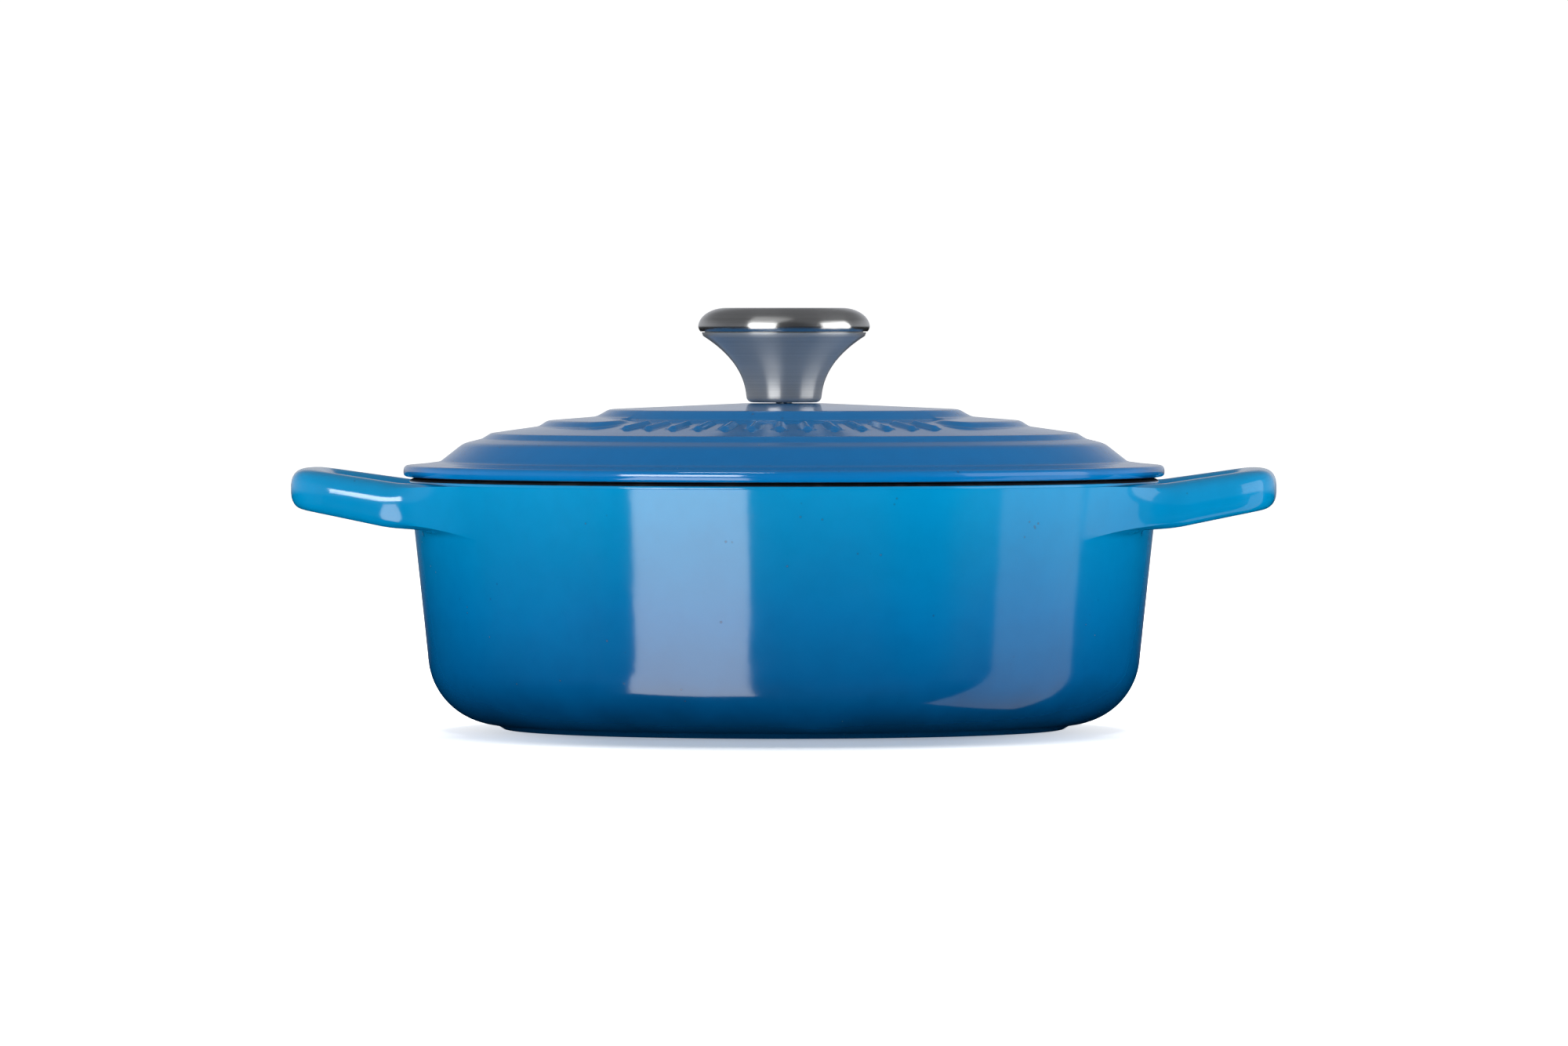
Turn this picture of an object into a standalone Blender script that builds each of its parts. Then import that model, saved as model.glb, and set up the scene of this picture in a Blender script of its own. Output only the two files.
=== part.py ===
"""Enamelled cast iron casserole, 24 cm across inside, with a stepped lid and a hollow steel knob.

The frame: origin at the centre of the foot, on the surface the pot stands on, +Z up, the two loop
handles along +X and -X. The interrupted terrace on the lid opens towards -Y.
"""

import math

import bmesh
import bpy
from mathutils import Matrix, Vector

MM = 0.001
GAP = 0.3 * MM  # left between two pieces that touch on the real object

# Driving sizes of the pot casting
RIM_TOP = 84.1 * MM
WALL = 3.9 * MM
FLOOR_TOP = 6.0 * MM
CORNER_CENTRE_R = 95.8 * MM  # both corner curves turn about this radius
CORNER_RADIUS = 23.7 * MM
CORNER_CENTRE_Z = 25.3 * MM
INNER_CORNER_HEIGHT = 19.3 * MM
DRAFT = 0.105  # the wall's outward lean, radius per height
FOOT_RADIUS = 94.5 * MM
FOOT_BEVEL_RADIUS = 98.0 * MM
FOOT_BEVEL_HEIGHT = 1.7 * MM
FOOT_RING_INSIDE = 68.0 * MM
FOOT_RECESS = 0.6 * MM
RIM_ROUND = 1.6 * MM
POT_COLUMNS = 72

# Loop handles, seen from above along +X and from the side
HANDLE_ROOT_COLUMNS = (3, 5)  # wall columns that an arm grows from, counted from the X axis
HANDLE_ROOT_ROWS = (65.5 * MM, 71.0 * MM, 76.5 * MM, 82.0 * MM)
HANDLE_BAR_X = 158.9 * MM  # centre line of the grip bar
HANDLE_BAR_HALF_SPAN = 24.0 * MM
HANDLE_CORNER_RADIUS = 13.0 * MM
HANDLE_ARM_START = (129.0 * MM, 43.5 * MM)  # x and |y| of the first free section
HANDLE_WIDTH = 12.6 * MM
HANDLE_HEIGHT_ROOT = 15.0 * MM
HANDLE_HEIGHT_BAR = 13.6 * MM
HANDLE_Z_ROOT = 76.0 * MM  # centre heights
HANDLE_Z_BAR = 80.8 * MM

# Lid casting
LID_EDGE_RADIUS = 127.75 * MM
SCREW_HOLE_RADIUS = 3.4 * MM
LID_COLUMNS = 64
LID_PAD_TOP = 109.2 * MM
LID_PAD_UNDERSIDE = 104.4 * MM
LID_SEAT = RIM_TOP + GAP
LOCATING_RING_BOTTOM = 80.4 * MM
LOCATING_RING_RADIUS = 119.2 * MM
LUG_REACH = 1.6 * MM
LUG_COUNT = 3
TERRACE_RADII = (62.0 * MM, 83.6 * MM)
TERRACE_END_FROM_FRONT = math.radians(52.6)

# Knob, fixed through the lid by one M6 screw
KNOB_COLUMNS = 32
SHEET = 1.2 * MM
STEM_BOTTOM = LID_PAD_TOP + GAP
STEM_FLOOR = 1.5 * MM
SEAM_Z = STEM_BOTTOM + 23.0 * MM
CAP_EDGE_Z = STEM_BOTTOM + 25.3 * MM
CAP_EDGE = (19.5 * MM, 9.3 * MM)  # radius of the edge curve's centre, and its half width
KNOB_TOP = STEM_BOTTOM + 31.7 * MM
NUT_ACROSS_FLATS = 13.0 * MM
NUT_HEIGHT = 9.0 * MM
THREAD_BORE = 3.15 * MM
SHANK_RADIUS = 2.85 * MM
WASHER_BORE = 3.3 * MM
WASHER_RADIUS = 9.0 * MM
WASHER_THICK = 1.2 * MM
SPRING_RADIUS = 5.6 * MM
SPRING_THICK = 1.5 * MM
SPRING_SLIT = math.radians(10)
HEAD_RADIUS = 7.0 * MM
HEAD_HEIGHT = 3.6 * MM
DRIVE_LENGTH = 7.0 * MM
DRIVE_WIDTH = 1.5 * MM
DRIVE_DEPTH = 2.0 * MM


def clear_scene():
    """Removes whatever the file opened with."""
    for obj in list(bpy.data.objects):
        bpy.data.objects.remove(obj, do_unlink=True)


def make_material(name, colour, roughness, metallic):
    """A Principled BSDF with one colour."""
    material = bpy.data.materials.new(name)
    material.use_nodes = True
    shader = material.node_tree.nodes["Principled BSDF"]
    shader.inputs["Base Color"].default_value = (*colour, 1.0)
    shader.inputs["Roughness"].default_value = roughness
    shader.inputs["Metallic"].default_value = metallic
    return material


def ellipse_arc(centre, half_axes, start, end, steps):
    """Points on an ellipse in the (radius, height) plane, angles in degrees from +radius."""
    angles = [math.radians(start + (end - start) * i / steps) for i in range(steps + 1)]
    return [
        (centre[0] + half_axes[0] * math.cos(a), centre[1] + half_axes[1] * math.sin(a))
        for a in angles
    ]


def bezier(p0, p1, p2, p3, steps):
    """Points on a cubic curve, both ends included."""
    points = []
    for i in range(steps + 1):
        t = i / steps
        s = 1 - t
        weights = (s**3, 3 * s * s * t, 3 * s * t * t, t**3)
        points.append(
            tuple(sum(w * p[k] for w, p in zip(weights, (p0, p1, p2, p3))) for k in (0, 1))
        )
    return points


def in_mm(*points):
    """Points given in millimetres, in metres."""
    return [(r * MM, z * MM) for r, z in points]


def spin_profile(points, columns, closed):
    """A bmesh turned about Z from (radius, height) points.

    A profile that isn't closed starts and ends on the axis.
    """
    bm = bmesh.new()
    verts = [bm.verts.new((r, 0.0, z)) for r, z in points]
    edges = [bm.edges.new(pair) for pair in zip(verts, verts[1:])]
    if closed:
        edges.append(bm.edges.new((verts[-1], verts[0])))
    bmesh.ops.spin(
        bm,
        geom=verts + edges,
        cent=(0, 0, 0),
        axis=(0, 0, 1),
        angle=math.tau,
        steps=columns,
        use_merge=True,
    )
    bmesh.ops.remove_doubles(bm, verts=bm.verts[:], dist=0.01 * MM)
    bmesh.ops.recalc_face_normals(bm, faces=bm.faces[:])
    return bm


def finish_object(name, bm, material, smooth_below=35):
    """Links a bmesh as a named object, shaded smooth with sharp edges kept."""
    mesh = bpy.data.meshes.new(name)
    bm.to_mesh(mesh)
    bm.free()
    mesh.materials.append(material)
    mesh.shade_smooth()
    mesh.set_sharp_from_angle(angle=math.radians(smooth_below))
    obj = bpy.data.objects.new(name, mesh)
    bpy.context.scene.collection.objects.link(obj)
    return obj


def hide_helper(obj):
    """Marks a cutter or a shape that a Boolean takes in."""
    obj.hide_render = True
    obj.display_type = "WIRE"


def add_boolean(obj, other, operation):
    """Joins or cuts obj with another object that isn't itself a piece."""
    hide_helper(other)
    modifier = obj.modifiers.new(other.name, "BOOLEAN")
    modifier.operation = operation
    modifier.object = other
    modifier.solver = "EXACT"


# ---------------------------------------------------------------- pot casting


def wall_radius(z):
    """Outer radius of the pot's drafted wall at height z, in line with the corner's arc."""
    lean = math.atan(DRAFT)
    arc_end_r = CORNER_CENTRE_R + CORNER_RADIUS * math.cos(lean)
    arc_end_z = CORNER_CENTRE_Z - CORNER_RADIUS * math.sin(lean)
    return arc_end_r + DRAFT * (z - arc_end_z)


def pot_profile():
    """The pot's section from the centre of the foot, up the outside, over the rim, to the floor."""
    lean = math.degrees(math.atan(DRAFT))
    foot = [
        (0.0, FOOT_RECESS),
        (FOOT_RING_INSIDE, FOOT_RECESS),
        (FOOT_RING_INSIDE + 1.5 * MM, 0.0),
        (FOOT_RADIUS, 0.0),
        (FOOT_BEVEL_RADIUS, FOOT_BEVEL_HEIGHT),
    ]
    round_corner = (CORNER_RADIUS, CORNER_RADIUS)
    corner = ellipse_arc((CORNER_CENTRE_R, CORNER_CENTRE_Z), round_corner, -76, -lean, 6)
    rows = (38 * MM, *HANDLE_ROOT_ROWS)
    wall = [(wall_radius(z), z) for z in rows]
    rim_outside = wall_radius(RIM_TOP)
    rounding = (RIM_ROUND, RIM_ROUND)
    rim = ellipse_arc((rim_outside - RIM_ROUND, RIM_TOP - RIM_ROUND), rounding, 40, 90, 1)
    rim_inside = rim_outside - WALL + RIM_ROUND
    rim += ellipse_arc((rim_inside, RIM_TOP - RIM_ROUND), rounding, 90, 180, 2)
    inner_corner_z = FLOOR_TOP + INNER_CORNER_HEIGHT
    inner_half_width = wall_radius(inner_corner_z) - WALL - CORNER_CENTRE_R
    inner_corner = (inner_half_width, INNER_CORNER_HEIGHT)
    inside = ellipse_arc((CORNER_CENTRE_R, inner_corner_z), inner_corner, -4, -90, 5)
    return foot + corner + wall + rim + inside + [(0.0, FLOOR_TOP)]


def handle_path():
    """Centre line of one loop handle along +X, as (x, y, z) with its sweep direction."""
    start = Vector((*HANDLE_ARM_START, 0.0))
    corner_x = HANDLE_BAR_X - HANDLE_CORNER_RADIUS
    corner_centre = Vector((corner_x, HANDLE_BAR_HALF_SPAN, 0.0))
    plan = [start, start.lerp(corner_centre + Vector((0, HANDLE_CORNER_RADIUS, 0)), 0.6)]
    for angle in (84, 62, 38, 14):
        a = math.radians(angle)
        plan.append(
            corner_centre + HANDLE_CORNER_RADIUS * Vector((math.cos(a), math.sin(a), 0.0))
        )
    plan.append(Vector((HANDLE_BAR_X, HANDLE_BAR_HALF_SPAN * 0.4, 0.0)))
    plan += [Vector((p.x, -p.y, 0.0)) for p in reversed(plan)]
    reach = HANDLE_BAR_X - HANDLE_ARM_START[0]
    for point in plan:
        share = (point.x - HANDLE_ARM_START[0]) / reach
        point.z = HANDLE_Z_ROOT + (HANDLE_Z_BAR - HANDLE_Z_ROOT) * share
    return plan


def add_handle_section(bm, plan, index):
    """One twelve-sided loop of edges around the handle's centre line."""
    before = plan[max(index - 1, 0)]
    after = plan[min(index + 1, len(plan) - 1)]
    along = (after - before).normalized()
    across = Vector((0, 0, 1)).cross(along).normalized()
    upward = along.cross(across)
    share = (plan[index].x - HANDLE_ARM_START[0]) / (HANDLE_BAR_X - HANDLE_ARM_START[0])
    height = HANDLE_HEIGHT_ROOT + (HANDLE_HEIGHT_BAR - HANDLE_HEIGHT_ROOT) * share
    made = bmesh.ops.create_circle(bm, cap_ends=False, segments=12, radius=1.0)["verts"]
    for vert in made:
        angle = math.atan2(vert.co.y, vert.co.x)
        squareness = 0.62  # below 1, the section leans from an ellipse to a rounded rectangle
        side = math.copysign(abs(math.cos(angle)) ** squareness, math.cos(angle))
        rise = math.copysign(abs(math.sin(angle)) ** squareness, math.sin(angle))
        vert.co = plan[index] + across * side * HANDLE_WIDTH / 2 + upward * rise * height / 2
    return list({edge for vert in made for edge in vert.link_edges})


def open_handle_root(bm, side, arm):
    """Deletes the wall patch that an arm grows from and returns the hole's edges."""
    column = math.tau / POT_COLUMNS
    low, high = HANDLE_ROOT_COLUMNS
    bottom, top = HANDLE_ROOT_ROWS[0], HANDLE_ROOT_ROWS[-1]
    patch = []
    for face in bm.faces:
        centre = face.calc_center_median()
        angle = math.atan2(arm * centre.y, side * centre.x)
        radius = math.hypot(centre.x, centre.y)
        if (
            low * column < angle < high * column
            and bottom < centre.z < top
            and radius > wall_radius(centre.z) - WALL / 2
        ):
            patch.append(face)
    inner = set(patch)
    border = [
        edge
        for edge in {e for face in patch for e in face.edges}
        if any(face not in inner for face in edge.link_faces)
    ]
    bmesh.ops.delete(bm, geom=patch, context="FACES_KEEP_BOUNDARY")
    return border


def add_handle(bm, side):
    """Grows one loop handle out of the wall on the +X (side 1) or -X (side -1) side."""
    plan = handle_path()
    sections = [open_handle_root(bm, side, 1)]
    for index in range(len(plan)):
        section = add_handle_section(bm, plan, index)
        if side < 0:
            verts = list({vert for edge in section for vert in edge.verts})
            bmesh.ops.scale(bm, verts=verts, vec=(-1, 1, 1))
        sections.append(section)
    sections.append(open_handle_root(bm, side, -1))
    for one, other in zip(sections, sections[1:]):
        bmesh.ops.bridge_loops(bm, edges=one + other)


def build_pot(enamel):
    """The pot with both loop handles: one casting."""
    bm = spin_profile(pot_profile(), POT_COLUMNS, closed=False)
    for side in (1, -1):
        add_handle(bm, side)
    bmesh.ops.recalc_face_normals(bm, faces=bm.faces[:])
    return finish_object("pot_casting", bm, enamel)


# ---------------------------------------------------------------- lid casting


def lid_profile():
    """The lid's closed section: over the top from the screw hole to the edge, back underneath."""
    top = in_mm(
        (14, LID_PAD_TOP / MM),
        (36, 108.4),
        (56, 107.4),
        (59.5, 106.9),
        (62.5, 104.9),
        (66, 103.3),
        (84, 101.0),
        (95.5, 99.6),
        (99, 98.7),
        (101.3, 97.2),
        (104.5, 96.0),
        (110.5, 94.2),
        (113.6, 92.4),
        (116, 90.3),
        (118.5, 89.2),
        (125.5, 88.7),
        (127, 88.3),
    )
    edge = [(LID_EDGE_RADIUS, 87.0 * MM), (LID_EDGE_RADIUS, 85.6 * MM)]
    underside = in_mm((127, 84.7), (125.4, 84.7)) + [
        (125.0 * MM, LID_SEAT),
        (LOCATING_RING_RADIUS + 0.4 * MM, LID_SEAT),
        (LOCATING_RING_RADIUS, LOCATING_RING_BOTTOM + 0.8 * MM),
        (LOCATING_RING_RADIUS - 0.8 * MM, LOCATING_RING_BOTTOM),
        (115.8 * MM, LOCATING_RING_BOTTOM),
        (115.0 * MM, LOCATING_RING_BOTTOM + 0.8 * MM),
    ]
    underside += in_mm(
        (114.0, 85.2),
        (111.3, 88.2),
        (107.6, 90.8),
        (100.5, 93.3),
        (95, 95.4),
        (84, 96.9),
        (67, 99.1),
        (61, 101.6),
        (52, 103.2),
    )
    underside.append((15 * MM, LID_PAD_UNDERSIDE))
    hole = [(SCREW_HOLE_RADIUS, LID_PAD_UNDERSIDE), (SCREW_HOLE_RADIUS, LID_PAD_TOP)]
    return top + edge + underside + hole


def build_terrace(enamel):
    """The raised ring between the first and the last step, open at the front, with round ends."""
    inside, outside = TERRACE_RADII
    section = [
        (inside, 100.1 * MM),
        (inside, 105.1 * MM),
        (67 * MM, 104.4 * MM),
        (77.6 * MM, 103.6 * MM),
        (80.2 * MM, 102.9 * MM),
        (outside - 1 * MM, 101.4 * MM),
        (outside, 100.1 * MM),
    ]
    bm = bmesh.new()
    verts = [bm.verts.new((r, 0.0, z)) for r, z in section]
    face = bm.faces.new(verts)
    start = -math.pi / 2 + TERRACE_END_FROM_FRONT
    bmesh.ops.rotate(bm, verts=verts, cent=(0, 0, 0), matrix=Matrix.Rotation(start, 3, "Z"))
    arc = math.tau - 2 * TERRACE_END_FROM_FRONT
    geom = [face, *face.edges, *face.verts]
    bmesh.ops.spin(bm, geom=geom, cent=(0, 0, 0), axis=(0, 0, 1), angle=arc, steps=46)
    bmesh.ops.recalc_face_normals(bm, faces=bm.faces[:])
    return finish_object("terrace_shape", bm, enamel)


def build_terrace_end(side, enamel):
    """A tapered round boss that closes one end of the terrace."""
    inside, outside = 64.2 * MM, TERRACE_RADII[1]
    middle = (inside + outside) / 2
    angle = -math.pi / 2 + side * TERRACE_END_FROM_FRONT
    bm = bmesh.new()
    bmesh.ops.create_cone(
        bm,
        cap_ends=True,
        segments=24,
        radius1=(outside - inside) / 2,
        radius2=(outside - inside) / 2 - 2.6 * MM,
        depth=3.9 * MM,
    )
    centre = Vector((middle * math.cos(angle), middle * math.sin(angle), 101.9 * MM))
    bmesh.ops.translate(bm, verts=bm.verts[:], vec=centre)
    return finish_object(f"terrace_end_{'right' if side > 0 else 'left'}", bm, enamel)


def build_lugs(enamel):
    """The three stabiliser lugs outside the locating ring, which centre the lid in the pot."""
    lugs = []
    for i in range(LUG_COUNT):
        bm = bmesh.new()
        bmesh.ops.create_cube(bm, size=1.0)
        size = (LUG_REACH + 1.5 * MM, 14 * MM, 4.2 * MM)
        bmesh.ops.scale(bm, verts=bm.verts[:], vec=size)
        centre_r = LOCATING_RING_RADIUS + LUG_REACH - size[0] / 2
        centre_z = LOCATING_RING_BOTTOM + 0.5 * MM + size[2] / 2
        turn = Matrix.Rotation(math.tau * i / LUG_COUNT + math.pi / 2, 4, "Z")
        bm.transform(turn @ Matrix.Translation((centre_r, 0, centre_z)))
        lugs.append(finish_object(f"lug_{i + 1}", bm, enamel))
    return lugs


def build_lid(enamel):
    """The lid casting with its terrace and stabiliser lugs."""
    bm = spin_profile(lid_profile(), LID_COLUMNS, closed=True)
    lid = finish_object("lid_casting", bm, enamel)
    shapes = [build_terrace(enamel), build_terrace_end(1, enamel), build_terrace_end(-1, enamel)]
    shapes += build_lugs(enamel)
    for shape in shapes:
        add_boolean(lid, shape, "UNION")
    return lid


# ---------------------------------------------------------------- knob


def above_stem(*points):
    """(radius, height) points in millimetres, heights counted from the stem's bottom."""
    return [(r * MM, STEM_BOTTOM + z * MM) for r, z in points]


def build_knob_stem(steel):
    """The flared cup of the knob: a closed floor on the lid, a spigot that the cap sits over."""
    foot = above_stem((11.0, 0.0), (12.0, 0.5), (12.5, 1.4))
    flare = bezier(*above_stem((12.7, 2.2), (13.4, 9.5), (17.6, 16.2), (27.7, 22.6)), 7)
    rim = above_stem((28.1, 23.0), (26.6, 23.0), (26.6, 24.8), (25.6, 24.8), (25.6, 22.9))
    hollow = bezier(*above_stem((11.4, 3.4), (12.1, 10.3), (16.3, 17.3), (25.2, 22.4)), 5)
    floor_top = STEM_BOTTOM + STEM_FLOOR
    floor = [(10.4 * MM, floor_top), (SCREW_HOLE_RADIUS, floor_top)]
    bottom = [(SCREW_HOLE_RADIUS, STEM_BOTTOM)]
    outline = bottom + foot + flare + rim + list(reversed(hollow)) + floor
    bm = spin_profile(outline, KNOB_COLUMNS, closed=True)
    return finish_object("knob_stem", bm, steel)


def build_knob_cap(steel):
    """The shallow pressed cap with a flat top and a rolled edge."""
    bottom = SEAM_Z + GAP
    centre_r, half_width = CAP_EDGE
    centre = (centre_r, CAP_EDGE_Z)
    outside = [(0.0, KNOB_TOP)]
    outside += ellipse_arc(centre, (half_width, KNOB_TOP - CAP_EDGE_Z), 90, 0, 6)
    outside.append((centre_r + half_width - 0.7 * MM, bottom))
    inside = [(centre_r + half_width - 1.5 * MM, bottom)]
    inner_half_axes = (half_width - SHEET, KNOB_TOP - CAP_EDGE_Z - SHEET)
    inside += ellipse_arc(centre, inner_half_axes, 0, 90, 5)
    inside.append((0.0, KNOB_TOP - SHEET))
    bm = spin_profile(outside + inside, KNOB_COLUMNS, closed=False)
    return finish_object("knob_cap", bm, steel)


def build_knob_nut(steel):
    """The hexagonal nut inside the stem that the screw bites into."""
    bottom = STEM_BOTTOM + STEM_FLOOR + GAP
    bm = spin_profile(
        [
            (THREAD_BORE, bottom),
            (NUT_ACROSS_FLATS, bottom),
            (NUT_ACROSS_FLATS, bottom + NUT_HEIGHT),
            (THREAD_BORE, bottom + NUT_HEIGHT),
        ],
        24,
        closed=True,
    )
    half = NUT_ACROSS_FLATS / 2
    for i in range(6):
        normal = Vector((math.cos(math.tau * i / 6), math.sin(math.tau * i / 6), 0))
        cut = bmesh.ops.bisect_plane(
            bm,
            geom=bm.verts[:] + bm.edges[:] + bm.faces[:],
            plane_co=normal * half,
            plane_no=normal,
            clear_outer=True,
        )
        edges = [item for item in cut["geom_cut"] if isinstance(item, bmesh.types.BMEdge)]
        bmesh.ops.holes_fill(bm, edges=edges)
    bmesh.ops.recalc_face_normals(bm, faces=bm.faces[:])
    return finish_object("knob_nut", bm, steel)


# ---------------------------------------------------------------- screw and washers


def screw_stack():
    """Heights of the clamped stack under the lid, from the lid down."""
    flat_top = LID_PAD_UNDERSIDE - GAP
    flat_bottom = flat_top - WASHER_THICK
    spring_top = flat_bottom - GAP
    spring_bottom = spring_top - SPRING_THICK
    return flat_bottom, flat_top, spring_bottom, spring_top, spring_bottom - GAP


def build_flat_washer(steel):
    """The plain washer against the enamel under the lid."""
    bottom, top = screw_stack()[:2]
    chamfer = 0.2 * MM
    bm = spin_profile(
        [
            (WASHER_BORE, bottom),
            (WASHER_RADIUS - chamfer, bottom),
            (WASHER_RADIUS, bottom + chamfer),
            (WASHER_RADIUS, top),
            (WASHER_BORE, top),
        ],
        32,
        closed=True,
    )
    return finish_object("flat_washer", bm, steel)


def build_spring_washer(steel):
    """The split spring washer between the screw's head and the plain washer."""
    _, _, bottom, top, _ = screw_stack()
    bm = bmesh.new()
    inner, outer = WASHER_BORE, SPRING_RADIUS
    section = [(inner, bottom), (outer, bottom), (outer, top), (inner, top)]
    face = bm.faces.new([bm.verts.new((r, 0.0, z)) for r, z in section])
    bmesh.ops.spin(
        bm,
        geom=[face, *face.edges, *face.verts],
        cent=(0, 0, 0),
        axis=(0, 0, 1),
        angle=math.tau - SPRING_SLIT,
        steps=28,
    )
    bmesh.ops.recalc_face_normals(bm, faces=bm.faces[:])
    return finish_object("spring_washer", bm, steel)


def build_screw(steel):
    """The M6 screw: a low domed head under the lid with a cross drive, its shank up to the nut."""
    head_top = screw_stack()[4]
    tip = STEM_BOTTOM + STEM_FLOOR + GAP + NUT_HEIGHT
    edge = head_top - 1.0 * MM
    dome = ellipse_arc((0.0, edge), (HEAD_RADIUS, HEAD_HEIGHT - 1.0 * MM), -90, 0, 5)
    outline = dome + [
        (HEAD_RADIUS, head_top),
        (SHANK_RADIUS, head_top),
        (SHANK_RADIUS, tip - 0.8 * MM),
        (SHANK_RADIUS - 0.7 * MM, tip),
        (0.0, tip),
    ]
    outline[0] = (0.0, outline[0][1])
    bm = spin_profile(outline, 24, closed=False)
    screw = finish_object("knob_screw", bm, steel)
    for i, name in enumerate(("drive_slot_along", "drive_slot_across")):
        slot = bmesh.new()
        bmesh.ops.create_cube(slot, size=1.0)
        bmesh.ops.scale(
            slot, verts=slot.verts[:], vec=(DRIVE_LENGTH, DRIVE_WIDTH, 2 * DRIVE_DEPTH)
        )
        centre = Matrix.Translation((0, 0, head_top - HEAD_HEIGHT))
        slot.transform(centre @ Matrix.Rotation(math.pi / 2 * i, 4, "Z"))
        add_boolean(screw, finish_object(name, slot, steel), "DIFFERENCE")
    return screw


def main():
    """Builds every piece in place."""
    clear_scene()
    pot_enamel = make_material("pot_enamel", (0.0, 0.20, 0.48), 0.12, 0.0)
    lid_enamel = make_material("lid_enamel", (0.0, 0.13, 0.35), 0.12, 0.0)
    polished = make_material("polished_steel", (0.62, 0.62, 0.62), 0.18, 1.0)
    brushed = make_material("brushed_steel", (0.55, 0.55, 0.54), 0.32, 1.0)
    fastener = make_material("fastener_steel", (0.60, 0.60, 0.59), 0.28, 1.0)
    build_pot(pot_enamel)
    build_lid(lid_enamel)
    build_knob_stem(polished)
    build_knob_cap(brushed)
    build_knob_nut(fastener)
    build_flat_washer(fastener)
    build_spring_washer(fastener)
    build_screw(fastener)


main()
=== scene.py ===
"""Looks of a low enamelled cast iron casserole with a stepped lid and a hollow steel knob.

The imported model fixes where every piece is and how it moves. This script makes the fine meshes
that stand for the castings and the steel pieces, dresses them in enamel and steel, and sets up a
plain studio. Shapes are worked out in millimetres and turned to metres when a piece is finished.
"""

import logging
import math
from collections.abc import Iterable, Sequence
from dataclasses import dataclass, field
from enum import Enum

import bmesh
import bpy
from bmesh.types import BMEdge, BMesh, BMVert
from mathutils import Matrix, Vector


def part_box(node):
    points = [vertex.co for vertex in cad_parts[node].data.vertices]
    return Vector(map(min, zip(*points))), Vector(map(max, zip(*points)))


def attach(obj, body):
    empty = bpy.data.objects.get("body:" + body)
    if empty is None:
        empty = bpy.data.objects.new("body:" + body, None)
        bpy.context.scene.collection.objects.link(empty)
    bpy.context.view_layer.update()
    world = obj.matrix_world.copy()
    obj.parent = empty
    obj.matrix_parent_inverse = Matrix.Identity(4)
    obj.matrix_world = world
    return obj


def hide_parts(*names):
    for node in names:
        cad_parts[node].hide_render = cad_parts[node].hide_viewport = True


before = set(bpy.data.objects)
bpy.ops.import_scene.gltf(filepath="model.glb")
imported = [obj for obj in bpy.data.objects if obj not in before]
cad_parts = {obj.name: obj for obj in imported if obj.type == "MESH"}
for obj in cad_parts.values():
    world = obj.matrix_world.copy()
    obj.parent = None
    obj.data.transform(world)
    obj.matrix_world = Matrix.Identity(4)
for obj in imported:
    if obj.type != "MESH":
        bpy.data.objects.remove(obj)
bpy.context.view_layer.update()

MM = 0.001
MERGE_DISTANCE = 0.004  # millimetres, between points that belong together
ORIGIN = (0.0, 0.0, 0.0)
UP = (0.0, 0.0, 1.0)

Colour = tuple[float, float, float, float]
WHITE = (1.0, 1.0, 1.0, 1.0)
log = logging.getLogger("casserole")


class Slot(Enum):
    """The record's material slots."""

    POT_ENAMEL = "pot_enamel"
    LID_ENAMEL = "lid_enamel"
    POLISHED_STEEL = "polished_steel"
    SATIN_STEEL = "satin_steel"
    FASTENER_STEEL = "fastener_steel"


class Body(Enum):
    """The rigid bodies that the pieces ride on."""

    POT = "pot"
    KNOB = "knob"
    LID = "lid"
    WASHERS = "washers"
    SCREW = "screw"


class Grain(Enum):
    """Which way the fine lines of a steel surface run."""

    ROUND_THE_AXIS = "round"
    NONE = "none"


# ------------------------------------------------------------------ shader values


def screen_colour(red: int, green: int, blue: int) -> Colour:
    """A colour from its three screen values.

    Args:
        red: red from 0 to 255.
        green: green from 0 to 255.
        blue: blue from 0 to 255.

    Returns:
        The linear colour that a shader works with, with full alpha.
    """
    linear = []
    for part in (red, green, blue):
        share = part / 255
        linear.append(share / 12.92 if share <= 0.04045 else ((share + 0.055) / 1.055) ** 2.4)
    return (linear[0], linear[1], linear[2], 1.0)


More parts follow.
